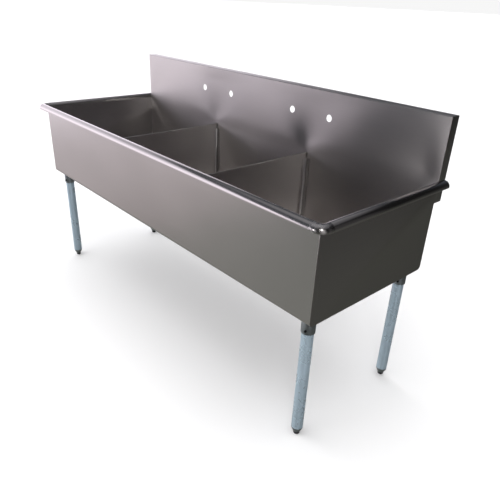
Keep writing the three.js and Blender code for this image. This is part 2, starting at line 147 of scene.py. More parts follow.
class MaterialBench(Bench):
    """Builds the nodes of one material round its surface shader."""

    def __init__(self, name: str) -> None:
        """Start an empty material with a surface shader and an output.

        Args:
            name: Name of the material.
        """
        self.material = bpy.data.materials.new(name)
        self.material.use_nodes = True
        super().__init__(self.material.node_tree)
        self.tree.nodes.clear()
        output = self.tree.nodes.new("ShaderNodeOutputMaterial")
        self.shader = self.tree.nodes.new("ShaderNodeBsdfPrincipled")
        self.tree.links.new(self.shader.outputs["BSDF"], output.inputs["Surface"])
        self.place = self.made("TexCoord", "Object", {})

    def finished(self, **values: Socket | float) -> bpy.types.Material:
        """Give the shader's own sockets their values, with underscores for the spaces in their names."""
        self.give(self.shader, {key.replace("_", " "): value for key, value in values.items()})
        return self.material

    def stretched(self, scale: Sequence[float], turn: Sequence[float] = (0, 0, 0)) -> Socket:
        """Scale and turn the object's coordinates, to draw a pattern out along an axis."""
        return self.made("Mapping", "Vector", {"Vector": self.place, "Scale": scale, "Rotation": turn})

    def around(self, axis: str) -> Socket:
        """Give the direction round an axis, across the grain of a sheet that is brushed along it."""
        return self.made("Tangent", "Tangent", {}, direction_type="RADIAL", axis=axis)

    def clouds(self, scale: float, detail: float, rough: float, where: Socket | None = None) -> Socket:
        """Add a noise pattern.

        Args:
            scale: Repeats per metre.
            detail: Octaves of finer noise.
            rough: Share that each octave keeps.
            where: Coordinates that it follows, or None for the object's own.

        Returns:
            The pattern, from 0 to 1.
        """
        inputs = {"Vector": where or self.place, "Scale": scale, "Detail": detail, "Roughness": rough}
        return self.made("TexNoise", "Fac", inputs)

    def cells(self, where: Socket, scale: float) -> Socket:
        """Add a pattern of irregular cells and give each cell's random value."""
        colour = self.made("TexVoronoi", "Color", {"Vector": where, "Scale": scale})
        return self.made("SeparateColor", "Red", {"Color": colour})

    def past(self, axis: str, distance: float) -> Socket:
        """Give 1 where a surface is further than a distance from the middle along an axis, else 0.

        Args:
            axis: X, Y or Z.
            distance: The distance in metres, below 0 for the low side alone.

        Returns:
            The mask.
        """
        place = self.made("SeparateXYZ", axis, {"Vector": self.place})
        size = self.reckoned("ABSOLUTE", place) if distance > 0 else self.reckoned("MULTIPLY", place, -1)
        return self.ranged(size, abs(distance), abs(distance) + 1.5 * MM, 0, 1)

    def tinted(self, value: Socket, band: Span, dark: Colour, light: Colour) -> Socket:
        """Mix two colours by where a value stands in a band.

        Args:
            value: The value.
            band: Where it gives the dark colour and where the light one.
            dark: Linear red, green and blue.
            light: Linear red, green and blue.

        Returns:
            The colour.
        """
        return self.blended("MIX", self.ranged(value, *band, 0, 1), (*dark, 1), (*light, 1))

    def relief(self, height: Socket, depth: float, below: Socket | None = None) -> Socket:
        """Turn a height pattern into surface relief.

        Args:
            height: Pattern from 0 to 1.
            depth: Its full height in metres.
            below: Relief that this one lies on.

        Returns:
            The bent normal.
        """
        inputs = {"Strength": 1, "Distance": depth, "Height": height}
        if below is not None:
            inputs["Normal"] = below
        return self.made("Bump", "Normal", inputs)


@dataclass(frozen=True)
class BrushedSheet:
    """Stainless sheet with a fine brushed grain along one axis, and soft smears from wiping."""

    name: str
    grain: tuple[float, float, float]
    axis: str
    smooth: float = 0.32
    coarse: float = 0.37
    polished_past: tuple[str, float] = ("X", 2.0)
    polish: float = 0.50
    dark: Colour = (0.530, 0.507, 0.498)
    light: Colour = (0.590, 0.563, 0.553)
    scratch: float = 0.0000003

    def material(self) -> bpy.types.Material:
        """Build the finish."""
        bench = MaterialBench(self.name)
        streaks = bench.clouds(1, 4, 0.62, bench.stretched(self.grain))
        smears = bench.clouds(1, 3, 0.55, bench.stretched((2.2, 3.1, 3.6), (0.2, 0.5, 0.3)))
        streak_shade = bench.ranged(streaks, 0.3, 0.7, 0, 0.55)
        shade = bench.reckoned("ADD", streak_shade, bench.ranged(smears, 0.3, 0.7, 0, 0.45))
        spread = self.coarse - self.smooth
        haze = bench.ranged(smears, 0.3, 0.72, self.smooth, self.smooth + 0.6 * spread)
        brushed = bench.reckoned("ADD", haze, bench.ranged(streaks, 0.3, 0.7, 0, 0.12 * spread))
        polish = bench.ranged(bench.past(*self.polished_past), 0, 1, 1, self.polish)
        return bench.finished(
            Metallic=1,
            Anisotropic=0.93,
            Tangent=bench.around(self.axis),
            Base_Color=bench.blended("MIX", shade, (*self.dark, 1), (*self.light, 1)),
            Roughness=bench.reckoned("MULTIPLY", brushed, polish),
            Normal=bench.relief(streaks, self.scratch),
        )


@dataclass(frozen=True)
class GroundWeld:
    """Stainless that was welded, ground and buffed by hand: brighter, with crossing disc marks."""

    name: str = "ground_weld"
    dark: Colour = (0.50, 0.47, 0.465)
    light: Colour = (0.66, 0.64, 0.63)
    scratch: float = 0.000022
    hollows: float = 0.00025

    def material(self) -> bpy.types.Material:
        """Build the finish."""
        bench = MaterialBench(self.name)
        first = bench.clouds(1, 3, 0.6, bench.stretched((900, 60, 60), (0.4, 0.3, 0.8)))
        second = bench.clouds(1, 3, 0.6, bench.stretched((70, 900, 80), (0.2, 0.7, -0.6)))
        smudge = bench.clouds(95, 4, 0.6)
        marks = bench.reckoned("ADD", *(bench.ranged(mark, 0.35, 0.65, 0, 0.5) for mark in (first, second)))
        return bench.finished(
            Metallic=1,
            Base_Color=bench.tinted(smudge, (0.35, 0.65), self.dark, self.light),
            Roughness=bench.ranged(smudge, 0.35, 0.7, 0.15, 0.34),
            Normal=bench.relief(marks, self.scratch, bench.relief(smudge, self.hollows)),
        )


@dataclass(frozen=True)
class Galvanised:
    """Hot dipped zinc with faint spangle and long drawn streaks, a cool blue grey."""

    name: str = "galvanised_tube"
    dark: Colour = (0.48, 0.595, 0.69)
    light: Colour = (0.61, 0.76, 0.88)

    def material(self) -> bpy.types.Material:
        """Build the finish."""
        bench = MaterialBench(self.name)
        spangle = bench.cells(bench.stretched((1, 1, 0.5)), 55)
        drawn = bench.clouds(1, 2, 0.5, bench.stretched((85, 85, 4)))
        drawn_shade = bench.ranged(drawn, 0.3, 0.7, 0, 0.7)
        shade = bench.reckoned("ADD", bench.ranged(spangle, 0, 1, 0, 0.3), drawn_shade)
        haze = bench.ranged(bench.clouds(16, 3, 0.5), 0.3, 0.7, 0.20, 0.38)
        return bench.finished(
            Metallic=0.62,
            Base_Color=bench.blended("MIX", shade, (*self.dark, 1), (*self.light, 1)),
            Roughness=bench.reckoned("ADD", haze, bench.ranged(spangle, 0, 1, 0, 0.05)),
        )


@dataclass(frozen=True)
class Mottled:
    """A finish with soft mottling in its colour and its roughness, over a fine texture."""

    name: str
    dark: Colour
    light: Colour
    rough: Span
    mottle: Cloud
    colour_band: Span = (0.35, 0.65)
    rough_band: Span = (0.35, 0.7)
    rough_mottle: Cloud | None = None
    texture: Cloud | None = None
    depth: float = 0
    bends_light: float | None = None

    def material(self) -> bpy.types.Material:
        """Build the finish."""
        bench = MaterialBench(self.name)
        mottle = bench.clouds(*self.mottle)
        haze = bench.clouds(*self.rough_mottle) if self.rough_mottle else mottle
        values = {"Metallic": 1}
        if self.bends_light:
            values = {"Metallic": 0, "IOR": self.bends_light}
        if self.depth:
            texture = bench.clouds(*self.texture) if self.texture else mottle
            values["Normal"] = bench.relief(texture, self.depth)
        return bench.finished(
            Base_Color=bench.tinted(mottle, self.colour_band, self.dark, self.light),
            Roughness=bench.ranged(haze, *self.rough_band, *self.rough),
            **values,
        )


@dataclass(frozen=True)
class WeldBead(Mottled):
    """Bare weld metal, slightly straw coloured beside bluish heat marks."""

    name: str = "weld_bead"
    dark: Colour = (0.42, 0.39, 0.34)
    light: Colour = (0.52, 0.52, 0.54)
    rough: Span = (0.28, 0.5)
    mottle: Cloud = (60, 2, 0.5)
    colour_band: Span = (0.4, 0.6)
    rough_band: Span = (0.3, 0.7)
    rough_mottle: Cloud = (700, 2, 0.5)


@dataclass(frozen=True)
class CastZinc(Mottled):
    """Zinc plated casting with a fine orange peel, used for sockets, inserts and lock nuts."""

    name: str = "cast_zinc"
    dark: Colour = (0.36, 0.40, 0.44)
    light: Colour = (0.56, 0.60, 0.64)
    rough: Span = (0.30, 0.46)
    mottle: Cloud = (45, 3, 0.5)
    colour_band: Span = (0.3, 0.7)
    rough_band: Span = (0.3, 0.7)
    texture: Cloud = (420, 3, 0.55)
    depth: float = 0.00012


@dataclass(frozen=True)
class MouldedPlastic(Mottled):
    """Dark moulded plastic with a fine spark eroded texture and rubbed high spots."""

    name: str = "dark_plastic"
    dark: Colour = (0.020, 0.021, 0.024)
    light: Colour = (0.045, 0.047, 0.052)
    rough: Span = (0.45, 0.66)
    mottle: Cloud = (70, 2, 0.5)
    rough_band: Span = (0.35, 0.65)
    texture: Cloud = (900, 3, 0.6)
    depth: float = 0.00005
    bends_light: float = 1.49


@dataclass(frozen=True)
class SoftRubber(Mottled):
    """Matt black rubber with a powdery bloom."""

    name: str = "soft_rubber"
    dark: Colour = (0.010, 0.010, 0.010)
    light: Colour = (0.028, 0.028, 0.029)
    rough: Span = (0.72, 0.92)
    mottle: Cloud = (120, 4, 0.5)
    colour_band: Span = (0.35, 0.7)
    depth: float = 0.0001
    bends_light: float = 1.5


@dataclass(frozen=True)
class BlackSteel(Mottled):
    """Black oxide steel with a thin oily sheen and worn edges."""

    name: str = "black_oxide_steel"
    dark: Colour = (0.030, 0.030, 0.033)
    light: Colour = (0.11, 0.11, 0.115)
    rough: Span = (0.3, 0.5)
    mottle: Cloud = (600, 3, 0.5)
    colour_band: Span = (0.5, 0.7)
    rough_band: Span = (0.3, 0.7)


@dataclass(frozen=True)
class BrightPlate(Mottled):
    """Bright plated or buffed metal with faint water marks."""

    name: str = "chrome_plate"
    dark: Colour = (0.62, 0.63, 0.65)
    light: Colour = (0.72, 0.73, 0.75)
    rough: Span = (0.06, 0.17)
    mottle: Cloud = (75, 4, 0.6)
    depth: float = 0.00006


class Finish(Enum):
    """The finishes of the sink's pieces, each with the record's slot that it belongs to."""

    WRAP = ("stainless", BrushedSheet(
        "brushed_sheet_lengthwise", (9.0, 900, 900), "X", polished_past=("Y", -0.3045),
    ))
    ENDS = ("stainless", BrushedSheet(
        "brushed_sheet_crosswise", (900, 9.0, 900), "Y", polished_past=("X", 0.9175),
    ))
    FLOOR_PLATE = ("stainless", BrushedSheet("mill_plate", (240, 240, 240), "Z", 0.3, 0.42))
    WELD = ("stainless", WeldBead())
    GROUND = ("polished_stainless", GroundWeld())
    DRAIN = ("polished_stainless", BrightPlate(
        "buffed_stainless", (0.56, 0.54, 0.53), (0.66, 0.64, 0.63), (0.12, 0.24),
    ))
    TUBE = ("galvanised", Galvanised())
    CASTING = ("zinc", CastZinc())
    PLASTIC = ("dark_plastic", MouldedPlastic())
    RUBBER = ("rubber", SoftRubber())
    SCREW = ("black_steel", BlackSteel())
    CHROME = ("chrome", BrightPlate())

    @property
    def slot(self) -> str:
        """The record's material slot."""
        return self.value[0]

    def material(self) -> bpy.types.Material:
        """Give the finish's material, built the first time that it is asked for."""
        recipe = self.value[1]
        return bpy.data.materials.get(recipe.name) or recipe.material()


# ---- Modelling ----


class Run(Enum):
    """The axis along which a folded line is drawn out into sheet."""

    X = 0
    Y = 1
    Z = 2

    def point(self, across: float, up: float, along: float) -> Vector:
        """Place a point of the line.

        Args:
            across: First coordinate of the line, Y for a run along X and X for the others.
            up: Second coordinate, Y for a run along Z and Z for the others.
            along: Coordinate along the run.

        Returns:
            The point in the frame.
        """
        places = {
            Run.X: (along, across, up),
            Run.Y: (across, along, up),
            Run.Z: (across, up, along),
        }
        return Vector(places[self])


@dataclass(frozen=True)
class Corner:
    """A corner of a folded line, with its bend radius."""

    across: float
    up: float
    radius: float = 0.0

    @property
    def flat(self) -> Vector:
        """The corner as a flat point."""
        return Vector((self.across, self.up))


def draw_line(bm: bmesh.types.BMesh, points: Iterable[Vector], corners: Sequence[Corner],
              segments: int, closed: bool = False) -> None:
    """Draw a line of edges through points, and round its corners with true arcs.

    Args:
        bm: An empty mesh.
        points: The place of each corner.
        corners: The corners with their bend radii.
        segments: Straight steps in a quarter turn.
        closed: Whether the last point is joined to the first.
    """
    verts = [bm.verts.new(point) for point in points]
    for pair in zip(verts, verts[1:]):
        bm.edges.new(pair)
    if closed:
        bm.edges.new((verts[-1], verts[0]))
    count = len(corners)
    for i, (vert, corner) in enumerate(zip(verts, corners)):
        if corner.radius <= 0 or (not closed and i in (0, count - 1)):
            continue
        before = corner.flat - corners[i - 1].flat
        after = corners[(i + 1) % count].flat - corner.flat
        turn = abs(before.angle_signed(after))
        steps = max(2, math.ceil(segments * turn / (math.pi / 2)))
        bmesh.ops.bevel(
            bm, geom=[vert], offset=corner.radius * math.tan(turn / 2), offset_type="OFFSET",
            segments=steps, profile=0.5, affect="VERTICES", clamp_overlap=False, material=-1,
        )


def drawn_out(bm: bmesh.types.BMesh, front: Sequence[bmesh.types.BMEdge], shift: Vector,
              ) -> tuple[list[bmesh.types.BMVert], list[bmesh.types.BMEdge]]:
    """Draw a row of edges out into faces.

    Args:
        bm: The mesh.
        front: The row of edges.
        shift: How far it is drawn, and which way.

    Returns:
        The vertices and the edges of the new row.
    """
    grown = bmesh.ops.extrude_edge_only(bm, edges=front)["geom"]
    verts = [g for g in grown if isinstance(g, bmesh.types.BMVert)]
    bmesh.ops.translate(bm, vec=shift, verts=verts)
    return verts, [g for g in grown if isinstance(g, bmesh.types.BMEdge)]


def raise_faces(bm: bmesh.types.BMesh, shift: Vector) -> None:
    """Draw flat faces out into a solid, with its faces turned outwards.

    Args:
        bm: The mesh of the flat faces.
        shift: How far they are drawn, and which way.
    """
    grown = bmesh.ops.extrude_face_region(bm, geom=bm.faces[:])["geom"]
    bmesh.ops.translate(bm, vec=shift, verts=[g for g in grown if isinstance(g, bmesh.types.BMVert)])
    bmesh.ops.recalc_face_normals(bm, faces=bm.faces[:])


def steady_bends(bm: bmesh.types.BMesh, flat_step: float | None = None) -> None:
    """Split the flats of a folded line close to their bends, so that the shading of a flat stays flat.

    Args:
        bm: The mesh that holds only the line.
        flat_step: Longest step along a flat, or None to leave its middle whole.
    """
    margin = 0.5 * MM
    for edge in [e for e in bm.edges if e.calc_length() > 8 * margin]:
        far = edge.verts[1]
        length = edge.calc_length()
        edge, _ = bmesh.utils.edge_split(edge, edge.verts[0], margin / length)
        rest = length - margin
        middle = next(e for e in bm.edges if far in e.verts and abs(e.calc_length() - rest) < SAME_PLACE)
        bmesh.utils.edge_split(middle, far, margin / rest)
    if flat_step:
        for edge in [e for e in bm.edges if e.calc_length() > 2 * flat_step]:
            cuts = int(edge.calc_length() / flat_step)
            bmesh.ops.subdivide_edges(bm, edges=[edge], cuts=cuts)


def to_piece(name: str, bm: bmesh.types.BMesh) -> Piece:
    """Make a bmesh an object at the origin, and free the bmesh.

    Args:
        name: Name of the piece.
        bm: Its mesh, in the frame.

    Returns:
        The new object.
    """
    mesh = bpy.data.meshes.new(name)
    bm.to_mesh(mesh)
    bm.free()
    piece = bpy.data.objects.new(name, mesh)
    bpy.context.scene.collection.objects.link(piece)
    return piece


def settle(piece: Piece) -> Piece:
    """Apply every modifier of a piece to its mesh.

    Args:
        piece: The piece.

    Returns:
        The same piece.
    """
    bpy.context.view_layer.update()
    graph = bpy.context.evaluated_depsgraph_get()
    mesh = bpy.data.meshes.new_from_object(piece.evaluated_get(graph))
    old = piece.data
    piece.modifiers.clear()
    piece.data = mesh
    bpy.data.meshes.remove(old)
    mesh.name = piece.name
    return piece


def smooth(piece: Piece, angle: float = 34) -> Piece:
    """Shade a piece smooth, but for its sharp edges.

    Args:
        piece: The piece.
        angle: Smallest angle in degrees of an edge that stays sharp.

    Returns:
        The same piece.
    """
    piece.data.shade_smooth()
    piece.data.set_sharp_from_angle(angle=math.radians(angle))
    return piece


def thicken(piece: Piece, thickness: float) -> Piece:
    """Give a folded surface its thickness, half to each side.

    Args:
        piece: The folded surface.
        thickness: Its thickness.

    Returns:
        The same piece.
    """
    wall = piece.modifiers.new("sheet", "SOLIDIFY")
    wall.thickness = thickness
    wall.offset = 0
    wall.use_even_offset = True
    return settle(piece)


def ease_edges(piece: Piece, width: float, segments: int = 2, angle: float = 50) -> Piece:
    """Round the sharp edges of a piece.

    Args:
        piece: The piece.
        width: Width of the rounding.
        segments: Steps across it.
        angle: Smallest angle in degrees of an edge that is rounded.

    Returns:
        The same piece.
    """
    bevel = piece.modifiers.new("edges", "BEVEL")
    bevel.width = width
    bevel.segments = segments
    bevel.limit_method = "ANGLE"
    bevel.angle_limit = math.radians(angle)
    return settle(piece)


def cut_away(piece: Piece, cutters: Iterable[Piece]) -> Piece:
    """Take the volume of some cutters from a piece, and remove the cutters.

    Args:
        piece: The piece that is cut.
        cutters: Closed meshes.

    Returns:
        The same piece.
    """
    used = list(cutters)
    for cutter in used:
        knife = piece.modifiers.new("cut", "BOOLEAN")
        knife.operation = "DIFFERENCE"
        knife.solver = "EXACT"
        knife.object = cutter
    settle(piece)
    for cutter in used:
        mesh = cutter.data
        bpy.data.objects.remove(cutter)
        bpy.data.meshes.remove(mesh)
    return piece


def join(name: str, pieces: Sequence[Piece]) -> Piece:
    """Join pieces into one.

    Args:
        name: Name of the joined piece.
        pieces: The pieces, which are removed.

    Returns:
        The new piece.
    """
    bm = bmesh.new()
    for piece in pieces:
        bm.from_mesh(piece.data)
        mesh = piece.data
        bpy.data.objects.remove(piece)
        bpy.data.meshes.remove(mesh)
    return to_piece(name, bm)


def even_stations(start: float, end: float, step: float) -> list[float]:
    """Give evenly spaced places.

    Args:
        start: The first place.
        end: The last place.
        step: Longest distance from one to the next.

    Returns:
        The places.
    """
    count = max(1, math.ceil(abs(end - start) / step))
    return [start + (end - start) * i / count for i in range(count + 1)]


def folded_sheet(name: str, corners: Sequence[Corner], run: Run, stations: Sequence[float],
                 thickness: float, segments: int = 16, flat_step: float | None = None,
                 shape: Callable[[Vector], Vector] | None = None,
                 left_out: Callable[[Vector], bool] | None = None) -> Piece:
    """Model a sheet that is folded along a line of corners.

    Args:
        name: Name of the piece.
        corners: Middle of the sheet, corner by corner.
        run: Axis along which the line is drawn out.
        stations: Places along the run, from its start to its end.
        thickness: Thickness of the sheet.
        segments: Straight steps in a quarter bend.
        flat_step: Longest step along a flat, or None.
        shape: Moves each point of the middle of the sheet, for dents and tension.
        left_out: Says of the middle of each face whether it is left out.

    Returns:
        The new piece.
    """
    bm = bmesh.new()
    draw_line(bm, (run.point(c.across, c.up, stations[0]) for c in corners), corners, segments)
    steady_bends(bm, flat_step)
    front = bm.edges[:]
    for here, there in zip(stations, stations[1:]):
        _, front = drawn_out(bm, front, run.point(0, 0, there - here))
    if left_out:
        spare = [face for face in bm.faces if left_out(face.calc_center_median())]
        bmesh.ops.delete(bm, geom=spare, context="FACES")
    bmesh.ops.recalc_face_normals(bm, faces=bm.faces[:])
    if shape:
        for vert in bm.verts:
            vert.co = shape(vert.co)
    return thicken(to_piece(name, bm), thickness)


def turned(name: str, corners: Sequence[Corner], centre: Vector, segments: int = 64,
           ring: bool = True) -> Piece:
    """Turn a profile about an upright axis.

    Args:
        name: Name of the piece.
        corners: Radius and height of each corner, with its rounding.
        centre: A point on the axis.
        segments: Sides round the axis.
        ring: Whether the profile is closed into a ring, or starts and ends on the axis.

    Returns:
        The new piece.
    """
    bm = bmesh.new()
    points = (Vector((centre.x + c.across, centre.y, c.up)) for c in corners)
    draw_line(bm, points, corners, segments=4, closed=ring)
    bmesh.ops.spin(
        bm, geom=bm.verts[:] + bm.edges[:], cent=centre, axis=(0, 0, 1), angle=2 * math.pi,
        steps=segments, use_merge=True,
    )
    bmesh.ops.remove_doubles(bm, verts=bm.verts[:], dist=SAME_PLACE)
    bmesh.ops.recalc_face_normals(bm, faces=bm.faces[:])
    return smooth(to_piece(name, bm))


def rod(name: str, start: Vector, end: Vector, radius: float, segments: int = 32) -> Piece:
    """Model a plain round bar between two points, as a stem or as a cutter.

    Args:
        name: Name of the piece.
        start: Centre of one end.
        end: Centre of the other end.
        radius: Radius of the bar.
        segments: Sides round it.

    Returns:
        The new piece.
    """
    line = end - start
    bm = bmesh.new()
    bmesh.ops.create_cone(
        bm, cap_ends=True, segments=segments, radius1=radius, radius2=radius, depth=line.length,
    )
    turn = Vector((0, 0, 1)).rotation_difference(line).to_matrix().to_4x4()
    bmesh.ops.transform(bm, matrix=Matrix.Translation((start + end) / 2) @ turn, verts=bm.verts[:])
    return to_piece(name, bm)


def block(name: str, low: Sequence[float], high: Sequence[float]) -> Piece:
    """Model a plain box, as a cutter.

    Args:
        name: Name of the piece.
        low: Its lowest corner.
        high: Its highest corner.

    Returns:
        The new piece.
    """
    bm = bmesh.new()
    bmesh.ops.create_cube(bm, size=1)
    size = Vector(high) - Vector(low)
    bmesh.ops.scale(bm, vec=size, verts=bm.verts[:])
    bmesh.ops.translate(bm, vec=(Vector(low) + Vector(high)) / 2, verts=bm.verts[:])
    return to_piece(name, bm)


def cut_plate(name: str, corners: Sequence[Corner], run: Run, start: float, end: float,
              segments: int = 12) -> Piece:
    """Model a flat plate from its outline.

    Args:
        name: Name of the piece.
        corners: Its outline, with a radius at each rounded corner.
        run: Axis across the plate.
        start: Where its thickness starts.
        end: Where its thickness ends.
        segments: Steps in a rounded quarter.

    Returns:
        The new piece.
    """
    bm = bmesh.new()
    draw_line(bm, (run.point(c.across, c.up, start) for c in corners), corners, segments, closed=True)
    bmesh.ops.contextual_create(bm, geom=bm.edges[:])
    raise_faces(bm, run.point(0, 0, end - start))
    return to_piece(name, bm)


def rippled_bead(start: Vector, end: Vector, radius: float = 0.9 * MM, puddle: float = 1.3 * MM) -> Piece:
    """Model a weld bead: a thin round run that swells and narrows at each puddle.

    Args:
        start: One end.
        end: The other end.
        radius: Mean radius.
        puddle: Length of a swelling, and of a narrowing.

    Returns:
        The new piece.
    """
    line = end - start
    count = max(4, round(line.length / puddle))
    bm = bmesh.new()
    bmesh.ops.create_circle(bm, cap_ends=False, segments=8, radius=radius)
    turn = Vector((0, 0, 1)).rotation_difference(line).to_matrix().to_4x4()
    bmesh.ops.transform(bm, matrix=Matrix.Translation(start) @ turn, verts=bm.verts[:])
    front = bm.edges[:]
    centre = start.copy()
    for i in range(count):
        ring, front = drawn_out(bm, front, line / count)
        centre += line / count
        swell = 1.16 if i % 2 else 1 / 1.16
        bmesh.ops.scale(bm, vec=(swell,) * 3, space=Matrix.Translation(-centre), verts=ring)
    bmesh.ops.holes_fill(bm, edges=[e for e in bm.edges if e.is_boundary], sides=8)
    bmesh.ops.recalc_face_normals(bm, faces=bm.faces[:])
    return to_piece("bead", bm)




def dress(piece: Piece, finish: Finish, body: str, *nodes: str) -> Piece:
    """Give a piece its finish, its body and the nodes that it stands for.

    Args:
        piece: The piece.
        finish: Its finish.
        body: The body that it rides on.
        nodes: The nodes that it replaces.

    Returns:
        The same piece.
    """
    piece.data.materials.clear()
    piece.data.materials.append(finish.material())
    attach(piece, body)
    finish.slot
    if nodes:
        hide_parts(*nodes)
    LOG.info("%s: %d faces", piece.name, len(piece.data.polygons))
    return piece


@dataclass(frozen=True)
class Pattern:
    """A piece that is modelled once, with its finish and the body that it rides on."""

    piece: Piece
    finish: Finish
    body: str = STEEL_BODY


def upright_axis(node: str) -> Vector:
    """Give the upright line through the middle of a node.

    Args:
        node: Name of the node.

    Returns:
        The line's foot, at the height of the floor.
    """
    low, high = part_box(node)
    return Vector(((low.x + high.x) / 2, (low.y + high.y) / 2, 0))


def set_down(place: str, shift: Vector, patterns: dict[str, Pattern]) -> None:
    """Dress the patterns where they stand, or copies of them in another place.

    Args:
        place: Name of the place.
        shift: Its distance from the patterns.
        patterns: The patterns by their nodes' names without the place.
    """
    for part, pattern in patterns.items():
        piece = pattern.piece
        if shift.length > MM:
            piece = bpy.data.objects.new(f"{place}_{part}_piece", piece.data.copy())
            piece.data.transform(Matrix.Translation(shift))
            bpy.context.scene.collection.objects.link(piece)
        dress(piece, pattern.finish, pattern.body.format(place=place), f"{place}_{part}")


# ---- Sheet body ----


def grown_in(distance: float, reach: float) -> float:
    """Grow from 0 to 1 over a reach."""
    return min(1, max(0, distance / reach))


def pucker(dx: float, dz: float, reach: float, depth: float, turn: float) -> float:
    """Give the height of a pucker with two hollows and two ridges round its middle.

    Args:
        dx: Distance from its middle along X.
        dz: Distance from its middle along Z.
        reach: Distance at which it is deepest.
        depth: Height of its ridges.
        turn: Direction of a ridge in radians.

    Returns:
        The height.
    """
    distance = math.hypot(dx, dz) / reach
    lobes = math.cos(2 * (math.atan2(dz, dx) - turn))
    return depth * lobes * distance * math.exp(1 - distance) * 0.8


